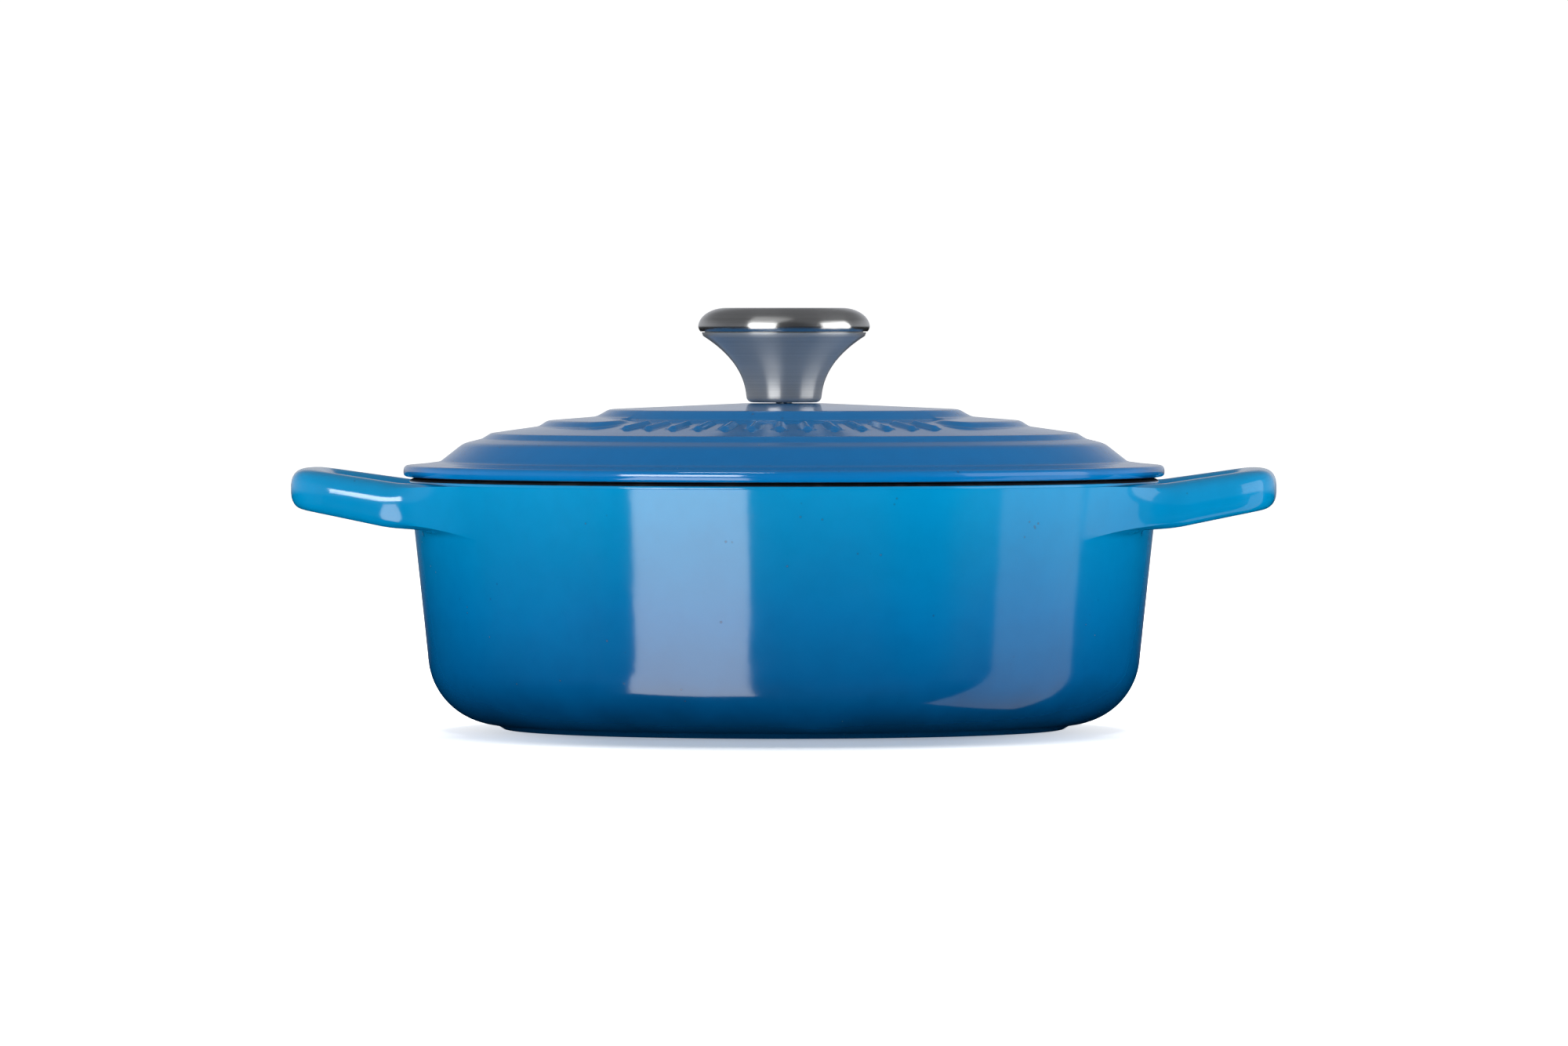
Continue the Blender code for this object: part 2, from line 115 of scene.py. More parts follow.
class Value:
    """An output in a material's node tree. Arithmetic on it adds Math nodes."""

    def __init__(self, book: "NodeBook", socket: bpy.types.NodeSocket) -> None:
        """Keeps the tree and the output that holds the value."""
        self.book = book
        self.socket = socket

    def math(self, operation: str, *operands: "Value | float") -> "Value":
        """Adds one Math node that works on the operands, and gives its result."""
        return self.book.node("ShaderNodeMath", {"operation": operation}, dict(enumerate(operands)))

    def __add__(self, other: "Value | float") -> "Value":
        """self + other."""
        return self.math("ADD", self, other)

    def __radd__(self, other: float) -> "Value":
        """other + self."""
        return self.math("ADD", other, self)

    def __sub__(self, other: "Value | float") -> "Value":
        """self - other."""
        return self.math("SUBTRACT", self, other)

    def __rsub__(self, other: float) -> "Value":
        """other - self."""
        return self.math("SUBTRACT", other, self)

    def __mul__(self, other: "Value | float") -> "Value":
        """self * other."""
        return self.math("MULTIPLY", self, other)

    def __rmul__(self, other: float) -> "Value":
        """other * self."""
        return self.math("MULTIPLY", other, self)

    def __truediv__(self, other: "Value | float") -> "Value":
        """self / other."""
        return self.math("DIVIDE", self, other)

    def __pow__(self, other: float) -> "Value":
        """self ** other."""
        return self.math("POWER", self, other)

    def between(
        self, low: float, high: float, at_low: float = 0.0, at_high: float = 1.0
    ) -> "Value":
        """Goes smoothly from one number to another, and holds them outside the span.

        Args:
            low: the value that gives the first number.
            high: the value that gives the second number.
            at_low: the first number.
            at_high: the second number.

        Returns:
            The number reached.
        """
        inputs = {"Value": self, "From Min": low, "From Max": high}
        inputs |= {"To Min": at_low, "To Max": at_high}
        return self.book.node("ShaderNodeMapRange", {"interpolation_type": "SMOOTHSTEP"}, inputs)


class NodeBook:
    """Adds nodes to one tree."""

    def __init__(self, tree: bpy.types.NodeTree) -> None:
        """Keeps the tree."""
        self.tree = tree

    def node(
        self,
        kind: str,
        settings: dict[str, object] | None = None,
        inputs: dict[str | int, object] | None = None,
        output: str | int = 0,
    ) -> Value:
        """Adds a node.

        Args:
            kind: the node's type.
            settings: its properties, set first; "stops" holds a ramp's (place, colour) pairs.
            inputs: the values or links of its sockets, by name or by number.
            output: the output that is wanted.

        Returns:
            That output.
        """
        made = self.tree.nodes.new(kind)
        for key, setting in (settings or {}).items():
            if key == "stops":
                self.set_stops(made.color_ramp, setting)
            else:
                setattr(made, key, setting)
        for key, given in (inputs or {}).items():
            self.feed(made.inputs[key], given)
        return Value(self, made.outputs[output])

    def set_stops(self, ramp: bpy.types.ColorRamp, stops: Sequence[tuple[float, Colour]]) -> None:
        """Gives a colour ramp its stops.

        Args:
            ramp: the ramp.
            stops: each stop's place from 0 to 1 and its colour, in order of place.
        """
        while len(ramp.elements) < len(stops):
            ramp.elements.new(1.0)
        for element, (place, colour) in zip(ramp.elements, stops):
            element.position = place
            element.color = colour

    def feed(self, socket: bpy.types.NodeSocket, given: object) -> None:
        """Links a value to an input, or sets a constant on it."""
        if isinstance(given, Value):
            self.tree.links.new(given.socket, socket)
        else:
            socket.default_value = given

    def parts(self, vector: Value) -> tuple[Value, Value, Value]:
        """The three numbers of a vector, one by one."""
        split = self.node("ShaderNodeSeparateXYZ", inputs={0: vector}).socket.node
        return tuple(Value(self, split.outputs[i]) for i in range(3))


class MaterialBook(NodeBook):
    """Builds one material's node tree."""

    def __init__(self, name: str) -> None:
        """Starts a material with only its Principled BSDF."""
        self.material = bpy.data.materials.new(name)
        self.material.use_nodes = True
        super().__init__(self.material.node_tree)
        self.shader = self.tree.nodes["Principled BSDF"]

    def place(self) -> Value:
        """Object coordinates, in metres."""
        return self.node("ShaderNodeTexCoord", output="Object")

    def axis_parts(self) -> tuple[Value, Value, Value]:
        """The three Object coordinates, one by one."""
        return self.parts(self.place())

    def noise(self, size: float, detail: float = 2.0, where: Value | None = None) -> Value:
        """Cloudy noise about 0.5 with patches of a size in metres, on Object coordinates."""
        inputs = {"Vector": where or self.place(), "Scale": 1.0 / size, "Detail": detail}
        return self.node("ShaderNodeTexNoise", inputs=inputs)

    def mix(self, factor: "Value | float", first: object, second: object) -> Value:
        """Goes from the first colour to the second as the factor goes from 0 to 1."""
        inputs = {0: factor, 6: first, 7: second}
        return self.node("ShaderNodeMix", {"data_type": "RGBA"}, inputs, output=2)

    def bump(self, height: Value, depth: float, under: Value | None = None) -> Value:
        """Turns a height into a normal.

        Args:
            height: the relief, from 0 to 1.
            depth: how high a relief of 1 stands, in metres.
            under: another bump that this one lies on.

        Returns:
            The normal.
        """
        inputs = {"Height": height, "Distance": depth, "Strength": 1.0}
        if under is not None:
            inputs["Normal"] = under
        return self.node("ShaderNodeBump", inputs=inputs)

    def finish(self, **sockets: object) -> bpy.types.Material:
        """Feeds the Principled BSDF.

        Args:
            sockets: what each of its inputs gets, with _ for each space in the input's name.

        Returns:
            The finished material.
        """
        for name, given in sockets.items():
            self.feed(self.shader.inputs[name.replace("_", " ")], given)
        return self.material


# ------------------------------------------------------------------ finishes


@dataclass(frozen=True)
class OutsideEnamel:
    """Glossy coloured enamel over iron, which may darken from the rim towards the foot."""

    name: str
    shades: tuple[tuple[float, Colour], ...]  # height in millimetres and colour, lowest first
    shine: float = 0.07
    refraction: float = 1.62
    cloud_shift: float = 0.012  # metres that the clouds move the shades up and down
    mottling: float = 0.55
    pinhole_depth: float = 0.5  # how far a pinhole goes towards its dark colour
    pinhole_colour: Colour = screen_colour(6, 20, 36)
    peel_depth: float = 0.000016
    swell_depth: float = 0.000096
    pinholes_per_metre: float = 260.0

    def build(self) -> bpy.types.Material:
        """Makes the material: clouded colour, mottling, orange peel and a few pinholes."""
        book = MaterialBook(self.name)
        _, _, height = book.axis_parts()
        lowest = self.shades[0][0] * MM
        span = (self.shades[-1][0] - self.shades[0][0]) * MM
        cloud = book.noise(size=0.028, detail=3.0) - 0.5
        level = (height - lowest + cloud * self.cloud_shift) / span
        stops = [((mm * MM - lowest) / span, colour) for mm, colour in self.shades]
        colour = book.node("ShaderNodeValToRGB", {"stops": stops}, {0: level})
        mottle = book.noise(size=0.0065, detail=4.0).between(0.35, 0.75)
        deeper = book.node("ShaderNodeHueSaturation", inputs={"Value": 0.93, "Color": colour})
        colour = book.mix(mottle * self.mottling, colour, deeper)
        cells = {"Vector": book.place(), "Scale": self.pinholes_per_metre}
        speck = book.node("ShaderNodeTexVoronoi", inputs=cells, output="Distance")
        chosen = book.noise(size=0.011, detail=0.0).between(0.66, 0.70)
        pinhole = (1.0 - speck.between(0.06, 0.16)) * chosen
        colour = book.mix(pinhole * self.pinhole_depth, colour, self.pinhole_colour)
        normal = book.bump(book.noise(size=0.022, detail=1.0), self.swell_depth)
        normal = book.bump(book.noise(size=0.0045, detail=1.5), self.peel_depth, normal)
        rough = self.shine + book.noise(size=0.009) * 0.05 + pinhole * 0.2
        return book.finish(Base_Color=colour, Roughness=rough, Normal=normal, IOR=self.refraction)


@dataclass(frozen=True)
class LiningEnamel:
    """The light, faintly speckled enamel inside the pot and under the lid."""

    name: str = "lining_enamel"
    light: Colour = screen_colour(226, 217, 197)
    cloudy: Colour = screen_colour(214, 203, 180)
    speckle: Colour = screen_colour(168, 150, 122)
    swell_depth: float = 0.0003
    peel_depth: float = 0.00005

    def build(self) -> bpy.types.Material:
        """Makes the material."""
        book = MaterialBook(self.name)
        cloud = book.noise(size=0.03, detail=3.0).between(0.3, 0.75)
        colour = book.mix(cloud * 0.5, self.light, self.cloudy)
        fleck = book.noise(size=0.0011, detail=1.0).between(0.68, 0.74)
        colour = book.mix(fleck * 0.35, colour, self.speckle)
        normal = book.bump(book.noise(size=0.02, detail=1.0), self.swell_depth)
        normal = book.bump(book.noise(size=0.004, detail=1.5), self.peel_depth, normal)
        rough = 0.14 + book.noise(size=0.012) * 0.08
        return book.finish(Base_Color=colour, Roughness=rough, Normal=normal, IOR=1.5)


@dataclass(frozen=True)
class MatteEnamel:
    """The matte black enamel on the rims, where the lid and the pot meet."""

    name: str = "matte_rim_enamel"
    fresh: Colour = screen_colour(17, 19, 23)
    worn: Colour = screen_colour(38, 40, 45)
    tooth: float = 0.00006

    def build(self) -> bpy.types.Material:
        """Makes the material."""
        book = MaterialBook(self.name)
        wear = book.noise(size=0.006, detail=3.0).between(0.45, 0.8)
        colour = book.mix(wear, self.fresh, self.worn)
        normal = book.bump(book.noise(size=0.0007, detail=3.0), self.tooth)
        return book.finish(Base_Color=colour, Roughness=0.5 + wear * 0.2, Normal=normal)


@dataclass(frozen=True)
class Steel:
    """Stainless steel, with fine turning lines or plain."""

    name: str
    colour: Colour
    roughness: float
    metal: float
    grain: Grain = Grain.NONE
    line_size: float = 0.00022
    line_depth: float = 0.000002
    stretch: float = 0.0  # how far turning lines draw a reflection out across them
    smears: float = 0.06  # how much rougher the smears are
    line_contrast: float = 0.12  # how much the roughness varies from line to line

    def build(self) -> bpy.types.Material:
        """Makes the material."""
        book = MaterialBook(self.name)
        smear = book.noise(size=0.012, detail=3.0).between(0.3, 0.8)
        rough = self.roughness + smear * self.smears
        height = book.noise(size=0.0015, detail=3.0)
        if self.grain is Grain.ROUND_THE_AXIS:
            x, y, rise = book.axis_parts()
            radius = (x * x + y * y) ** 0.5
            rings = book.node("ShaderNodeCombineXYZ", inputs={0: radius, 1: rise, 2: 0.0})
            height = book.noise(self.line_size, 3.0, rings)
            rough = rough + (height - 0.5) * self.line_contrast
        darker = tuple(part * 0.82 for part in self.colour[:3]) + (1.0,)
        return book.finish(
            Base_Color=book.mix(height.between(0.3, 0.7), darker, self.colour),
            Roughness=rough,
            Metallic=self.metal,
            Normal=book.bump(height, self.line_depth),
            Anisotropic=self.stretch,
            Anisotropic_Rotation=0.25,
        )


# ------------------------------------------------------------------ outlines and meshes


@dataclass(frozen=True)
class Corner:
    """A corner of an outline: its radius from the axis, its height and its rounding."""

    r: float
    z: float
    rounding: float = 0.0

    def point(self) -> Vector:
        """The corner as a point (radius, height)."""
        return Vector((self.r, self.z))


def arc(
    centre: Vector, radii: tuple[float, float], start: float, end: float, steps: int
) -> list[Vector]:
    """Points on an ellipse, from start to end in degrees from outwards towards up."""
    angles = [math.radians(start + (end - start) * i / steps) for i in range(steps + 1)]
    return [centre + Vector((radii[0] * math.cos(a), radii[1] * math.sin(a))) for a in angles]


def turn_verts(bm: BMesh, verts: Sequence[BMVert], angle: float) -> None:
    """Turns vertices about the vertical axis."""
    bmesh.ops.rotate(bm, verts=verts, cent=ORIGIN, matrix=Matrix.Rotation(angle, 3, "Z"))


def rounded(*places: tuple[float, ...], turn_step: float = 8.0) -> list[Vector]:
    """Turns the corners of an outline into arcs.

    Args:
        places: each corner's radius, height and rounding; the first and the last stay sharp.
        turn_step: the largest turn between two points of an arc, in degrees.

    Returns:
        The outline's points.
    """
    corners = [Corner(*place) for place in places]
    points = [corners[0].point()]
    for before, corner, after in zip(corners, corners[1:], corners[2:]):
        here = corner.point()
        back = (before.point() - here).normalized()
        ahead = (after.point() - here).normalized()
        opening = back.angle(ahead)
        if corner.rounding == 0.0:
            points.append(here)
            continue
        start = here + back * corner.rounding / math.tan(opening / 2)
        centre = here + (back + ahead).normalized() * corner.rounding / math.sin(opening / 2)
        turn = math.pi - opening
        if back.x * ahead.y - back.y * ahead.x > 0:
            turn = -turn
        steps = max(2, math.ceil(math.degrees(abs(turn)) / turn_step))
        for i in range(steps + 1):
            points.append(centre + Matrix.Rotation(turn * i / steps, 2) @ (start - centre))
    points.append(corners[-1].point())
    return points


def refined(points: Sequence[Vector], longest: float) -> list[Vector]:
    """Adds points so that no step of an outline is longer than a given length.

    Args:
        points: the outline's points.
        longest: the longest step that may stay.

    Returns:
        The old points with the new ones between them.
    """
    finer = [points[0]]
    for start, end in zip(points, points[1:]):
        steps = max(1, math.ceil((end - start).length / longest))
        finer += [start.lerp(end, i / steps) for i in range(1, steps + 1)]
    return finer


def cubic(p0: Vector, p1: Vector, p2: Vector, p3: Vector, share: float) -> Vector:
    """A point on a cubic curve, share from 0 to 1."""
    rest = 1.0 - share
    return p0 * rest**3 + p1 * (3 * rest**2 * share) + p2 * (3 * rest * share**2) + p3 * share**3


def spin_outline(
    bm: BMesh,
    outline: Sequence[Vector],
    columns: int,
    material: int = 0,
    turn: float = math.tau,
    doublings: int = 0,
) -> list[BMVert]:
    """Turns an outline about the vertical axis.

    Args:
        bm: the mesh that the surface is added to.
        outline: the outline's points as (radius, height).
        columns: the number of steps.
        material: the index of the surface's material.
        turn: the angle, a full turn when left out.
        doublings: how many times a narrow sector is doubled, which is quicker on a fine surface.

    Returns:
        The vertices added.
    """
    old_faces = set(bm.faces)
    old_verts = set(bm.verts)
    verts = [bm.verts.new((point.x, 0.0, point.y)) for point in outline]
    edges = [bm.edges.new(pair) for pair in zip(verts, verts[1:])]
    sector = turn / 2**doublings
    bmesh.ops.spin(
        bm,
        geom=verts + edges,
        cent=ORIGIN,
        axis=UP,
        angle=sector,
        steps=columns // 2**doublings,
        use_merge=sector == math.tau,
    )
    for _ in range(doublings):
        geom = [vert for vert in bm.verts if vert not in old_verts]
        geom += [face for face in bm.faces if face not in old_faces]
        copied = bmesh.ops.duplicate(bm, geom=geom)["geom"]
        copied_verts = [item for item in copied if isinstance(item, BMVert)]
        turn_verts(bm, copied_verts, sector)
        sector *= 2
    for face in bm.faces:
        if face not in old_faces:
            face.material_index = material
    return [vert for vert in bm.verts if vert not in old_verts]


def wind_section(
    bm: BMesh, section: Sequence[Vector], turn: float, rise: float, steps: int
) -> None:
    """Winds a closed section round the axis while it climbs.

    Args:
        bm: the mesh that the coil is added to.
        section: its corners as (radius, height).
        turn: the angle it goes round.
        rise: how far it climbs in all.
        steps: the number of steps.
    """
    face = bm.faces.new([bm.verts.new((point.x, 0.0, point.y)) for point in section])
    bmesh.ops.spin(
        bm,
        geom=[face, *face.edges, *face.verts],
        cent=ORIGIN,
        axis=UP,
        dvec=(0.0, 0.0, rise / steps),
        angle=turn,
        steps=steps,
    )


def finish_piece(
    name: str, bm: BMesh, materials: Sequence[bpy.types.Material], sharp: float = 42.0
) -> bpy.types.Object:
    """Closes a mesh's seams, turns its faces outwards and makes it an object in metres.

    Args:
        name: the object's name.
        bm: the mesh in millimetres, freed here.
        materials: its materials in order of index.
        sharp: the angle in degrees above which an edge stays sharp.

    Returns:
        The object.
    """
    bmesh.ops.remove_doubles(bm, verts=bm.verts[:], dist=MERGE_DISTANCE)
    bmesh.ops.dissolve_degenerate(bm, dist=MERGE_DISTANCE / 4, edges=bm.edges[:])
    bmesh.ops.recalc_face_normals(bm, faces=bm.faces[:])
    bmesh.ops.scale(bm, vec=(MM, MM, MM), verts=bm.verts[:])
    mesh = bpy.data.meshes.new(name)
    bm.to_mesh(mesh)
    bm.free()
    for material in materials:
        mesh.materials.append(material)
    mesh.shade_smooth()
    mesh.set_sharp_from_angle(angle=math.radians(sharp))
    piece = bpy.data.objects.new(name, mesh)
    bpy.context.scene.collection.objects.link(piece)
    return piece


def turned_piece(
    name: str,
    outline: Sequence[Vector],
    columns: int,
    steel: bpy.types.Material,
    sharp: float = 42.0,
    doublings: int = 0,
) -> bpy.types.Object:
    """Turns one outline into a steel piece.

    Args:
        name: the object's name.
        outline: the outline's points as (radius, height).
        columns: the number of steps round the axis.
        steel: its material.
        sharp: the angle in degrees above which an edge stays sharp.
        doublings: how many times a narrow sector is doubled.

    Returns:
        The object.
    """
    bm = bmesh.new()
    spin_outline(bm, outline, columns, doublings=doublings)
    return finish_piece(name, bm, [steel], sharp)


def stand_for(piece: bpy.types.Object, node: str, body: Body) -> None:
    """Lets a piece ride on a body and stand for a CAD node, whose part is hidden.

    Args:
        piece: the finished piece.
        node: the name of the CAD node that it replaces.
        body: the rigid body that carries it.
    """
    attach(piece, body.value)
    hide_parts(node)
    log.info("%s: %d faces, rides on %s", piece.name, len(piece.data.polygons), body.value)


def carve(piece: bpy.types.Object, cutter: bpy.types.Object) -> None:
    """Cuts one object out of another for good.

    Args:
        piece: the object that is cut.
        cutter: the object whose room is taken out, removed here.
    """
    modifier = piece.modifiers.new("carve", "BOOLEAN")
    modifier.operation = "DIFFERENCE"
    modifier.object = cutter
    modifier.solver = "EXACT"
    bpy.context.view_layer.update()
    graph = bpy.context.evaluated_depsgraph_get()
    carved = bpy.data.meshes.new_from_object(piece.evaluated_get(graph), depsgraph=graph)
    piece.modifiers.remove(modifier)
    piece.data = carved
    bpy.data.objects.remove(cutter, do_unlink=True)


# ------------------------------------------------------------------ pot


@dataclass
class LoopHandle:
    """One cast loop handle: two arms that rise outwards and a gently bowed grip bar."""

    reach: float  # from the pot's axis to the outside of the grip bar
    width: float = 12.6
    root_height: float = 15.0
    bar_height: float = 13.6
    root_z: float = 76.0
    bar_z: float = 80.8
    start_x: float = 131.0
    arm_lean: float = math.radians(21.0)
    bow: float = math.radians(5.0)
    half_span: float = 24.0
    corner_radius: float = 13.0
    squareness: float = 0.74
    station_gap: float = 1.9

    def stations(self) -> list[tuple[Vector, Vector]]:
        """The arm's centre line from beside the wall to the middle of the bar.

        Returns:
            Pairs of a point and the direction along the handle there.
        """
        bar_x = self.reach - self.width / 2
        to_corner = self.half_span / math.sin(self.bow)
        bow_centre = Vector((bar_x - to_corner - self.corner_radius, 0.0, 0.0))
        corner = bow_centre + Vector((to_corner * math.cos(self.bow), self.half_span, 0.0))
        steepest = math.pi / 2 - self.arm_lean
        plan = []
        for turn in self.steps(steepest, self.bow, self.corner_radius):
            plan.append(self.on_arc(corner, self.corner_radius, turn))
        arm_end, along = plan[0]
        arm_length = (arm_end.x - self.start_x) / along.x
        count = math.ceil(arm_length / self.station_gap)
        arm = [(arm_end - along * arm_length * (1 - i / count), along) for i in range(count)]
        bow_radius = to_corner + self.corner_radius
        for turn in self.steps(self.bow, 0.0, bow_radius)[1:]:
            plan.append(self.on_arc(bow_centre, bow_radius, turn))
        return [self.raised(point, direction, bar_x) for point, direction in arm + plan]

    def steps(self, start: float, end: float, radius: float) -> list[float]:
        """Angles from start to end, a station's gap apart on an arc of that radius."""
        count = math.ceil(abs(end - start) * radius / self.station_gap)
        return [start + (end - start) * i / count for i in range(count + 1)]

    def on_arc(self, centre: Vector, radius: float, turn: float) -> tuple[Vector, Vector]:
        """A point on an arc and the direction along it, towards the bar's middle."""
        outwards = Vector((math.cos(turn), math.sin(turn), 0.0))
        return centre + outwards * radius, Vector((math.sin(turn), -math.cos(turn), 0.0))

    def raised(self, point: Vector, along: Vector, bar_x: float) -> tuple[Vector, Vector]:
        """Lifts a point of the plan to the handle's height there.

        Args:
            point: the point, at height 0.
            along: the direction along the handle in the plan.
            bar_x: where the middle of the grip bar's section lies.

        Returns:
            The point and the direction in space.
        """
        slope = (self.bar_z - self.root_z) / (bar_x - self.start_x)
        height = self.root_z + slope * (point.x - self.start_x)
        direction = Vector((along.x, along.y, slope * along.x)).normalized()
        return Vector((point.x, point.y, height)), direction

    def section_point(self, station: tuple[Vector, Vector], turn: float) -> Vector:
        """A point on the handle's rounded section.

        Args:
            station: the centre and the direction along the handle.
            turn: the angle round the section, from the loop's outer side upwards.

        Returns:
            The point.
        """
        centre, along = station
        across = Vector(UP).cross(along).normalized()
        upward = along.cross(across)
        share = (centre.z - self.root_z) / (self.bar_z - self.root_z)
        height = self.root_height + (self.bar_height - self.root_height) * share
        side = math.copysign(abs(math.cos(turn)) ** self.squareness, math.cos(turn))
        rise = math.copysign(abs(math.sin(turn)) ** self.squareness, math.sin(turn))
        return centre + across * side * self.width / 2 + upward * rise * height / 2


@dataclass
class PotCasting:
    """The pot: foot, rounded corner, leaning wall, rim and both loop handles."""

    outside: OutsideEnamel
    lining: bpy.types.Material
    rim_enamel: bpy.types.Material
    rim_top: float = 84.1
    wall: float = 3.9
    floor_top: float = 6.0
    corner_centre: Vector = field(default_factory=lambda: Vector((95.8, 25.3)))
    corner_radius: float = 23.7
    inner_corner_height: float = 19.3
    lean: float = 0.105
    rim_rounding: float = 1.6
    quarter_columns: int = 72
    root_angles: tuple[float, float] = (math.radians(15.0), math.radians(36.25))
    root_heights: tuple[float, float] = (64.6, 82.2)
    root_rows: int = 9
    rows_below: int = 11
    row_height: float = 3.3
    arc_steps: int = 18
    matte_band: tuple[float, float] = (28.0, 150.0)  # degrees round the rim, from outwards
    foot_step: float = 12.0  # longest steps of the outlines
    inside_step: float = 6.0
    fillet_steps: int = 10
    fillet_lead: tuple[float, float] = (0.72, 0.62)  # pull along the wall and along the arm

    def wall_radius(self, height: float) -> float:
        """The wall's outer radius at a height."""
        tilt = math.atan(self.lean)
        outwards = Vector((math.cos(tilt), -math.sin(tilt)))
        arc_end = self.corner_centre + self.corner_radius * outwards
        return arc_end.x + self.lean * (height - arc_end.y)

    def outside_outline(self) -> list[Vector]:
        """From the middle of the foot to the edge of the rim's matte band."""
        foot = rounded(
            (0.0, 0.6), (66.8, 0.6, 1.2), (68.6, 0.0, 0.8), (93.9, 0.0, 1.0), (96.6, 1.62, 1.2),
            (98.0, 1.66),
        )
        tilt = math.degrees(math.atan(self.lean))
        radii = (self.corner_radius, self.corner_radius)
        corner = arc(self.corner_centre, radii, -83.0, -tilt, self.arc_steps)
        low, high = self.root_heights
        rows = self.root_rows
        heights = [low - self.row_height * i for i in range(self.rows_below, 0, -1)]
        heights += [low + (high - low) * i / rows for i in range(rows + 1)]
        wall = [Vector((self.wall_radius(z), z)) for z in heights]
        rim = self.rim_arc(-tilt, self.matte_band[0], outer=True)
        return refined(foot[:-1], self.foot_step) + corner + wall + rim

    def rim_arc(self, start: float, end: float, outer: bool) -> list[Vector]:
        """Part of the rim's rounding.

        Args:
            start: where it starts, in degrees from outwards towards up.
            end: where it ends.
            outer: whether it belongs to the outer or to the inner edge.

        Returns:
            The points.
        """
        inset = self.rim_rounding if outer else self.wall - self.rim_rounding
        centre = Vector((self.wall_radius(self.rim_top) - inset, self.rim_top - self.rim_rounding))
        return arc(centre, (self.rim_rounding, self.rim_rounding), start, end, 6)

    def rim_outline(self) -> list[Vector]:
        """The matte band over the top of the rim."""
        start, end = self.matte_band
        return self.rim_arc(start, 90.0, outer=True) + self.rim_arc(90.0, end, outer=False)

    def inside_outline(self) -> list[Vector]:
        """From the rim down the inside to the middle of the floor."""
        top = self.rim_arc(self.matte_band[1], 180.0, outer=False)
        centre = Vector((self.corner_centre.x, self.floor_top + self.inner_corner_height))
        reach = self.wall_radius(centre.y) - self.wall - centre.x
        corner = arc(centre, (reach, self.inner_corner_height), -2.0, -90.0, self.arc_steps)
        inside = refined(top + corner, self.inside_step)
        floor = refined([corner[-1], Vector((0.0, self.floor_top))], self.foot_step)
        return inside + floor[1:]

    def root_border(self, bm: BMesh) -> list[BMEdge]:
        """Opens the wall where an arm starts.

        Args:
            bm: the quarter of the pot.

        Returns:
            The edges round the opening.
        """
        patch = []
        for face in bm.faces:
            middle = face.calc_center_median()
            turn = math.atan2(middle.y, middle.x)
            on_wall = math.hypot(middle.x, middle.y) > self.wall_radius(middle.z) - self.wall / 2
            beside = self.root_angles[0] < turn < self.root_angles[1]
            if on_wall and beside and self.root_heights[0] < middle.z < self.root_heights[1]:
                patch.append(face)
        inner = set(patch)
        edges = {edge for face in patch for edge in face.edges}
        border = [edge for edge in edges if any(face not in inner for face in edge.link_faces)]
        bmesh.ops.delete(bm, geom=patch, context="FACES")
        return border

    def grow_handle(self, bm: BMesh, handle: LoopHandle) -> None:
        """Draws half a handle out of the wall's opening, up to the middle of its bar.

        Args:
            bm: the quarter of the pot.
            handle: the handle's shape.
        """
        strand = bm.verts.layers.float.new("strand")
        root = bm.verts.layers.float_vector.new("root")
        edges = self.root_border(bm)
        middle_turn = sum(self.root_angles) / 2
        middle_z = sum(self.root_heights) / 2
        half_width = (self.root_angles[1] - self.root_angles[0]) / 2
        half_height = (self.root_heights[1] - self.root_heights[0]) / 2
        for vert in {vert for edge in edges for vert in edge.verts}:
            turn = math.atan2(vert.co.y, vert.co.x)
            rise = (vert.co.z - middle_z) / half_height
            vert[strand] = math.atan2(rise, (turn - middle_turn) / half_width)
            vert[root] = vert.co
        stations = handle.stations()
        for step in range(1, self.fillet_steps + len(stations)):
            drawn = bmesh.ops.extrude_edge_only(bm, edges=edges)["geom"]
            fresh = {item for item in drawn if isinstance(item, BMVert)}
            edges = [e for e in drawn if isinstance(e, BMEdge) and set(e.verts) <= fresh]
            for vert in fresh:
                if step < self.fillet_steps:
                    start, share = vert[root], step / self.fillet_steps
                    vert.co = self.fillet_point(handle, stations[0], start, vert[strand], share)
                else:
                    station = stations[step - self.fillet_steps]
                    vert.co = handle.section_point(station, vert[strand])
        for vert in {vert for edge in edges for vert in edge.verts}:
            vert.co.y = 0.0

    def fillet_point(
        self,
        handle: LoopHandle,
        station: tuple[Vector, Vector],
        root: Sequence[float],
        turn: float,
        share: float,
    ) -> Vector:
        """A point of the hollow between the wall and an arm.

        Args:
            handle: the handle's shape.
            station: the arm's first section.
            root: where the strand leaves the wall.
            turn: its angle round the section.
            share: how far along the strand the point lies, from 0 to 1.

        Returns:
            The point, on a curve that starts along the wall and ends along the arm.
        """
        start = Vector(root)
        end = handle.section_point(station, turn)
        slant = -self.lean * math.hypot(start.x, start.y)
        outwards = Vector((start.x, start.y, slant)).normalized()
        travel = end - start
        along_wall = travel - outwards * travel.dot(outwards)
        before_end = end - station[1] * travel.dot(outwards) * self.fillet_lead[1]
        return cubic(start, start + along_wall * self.fillet_lead[0], before_end, end, share)

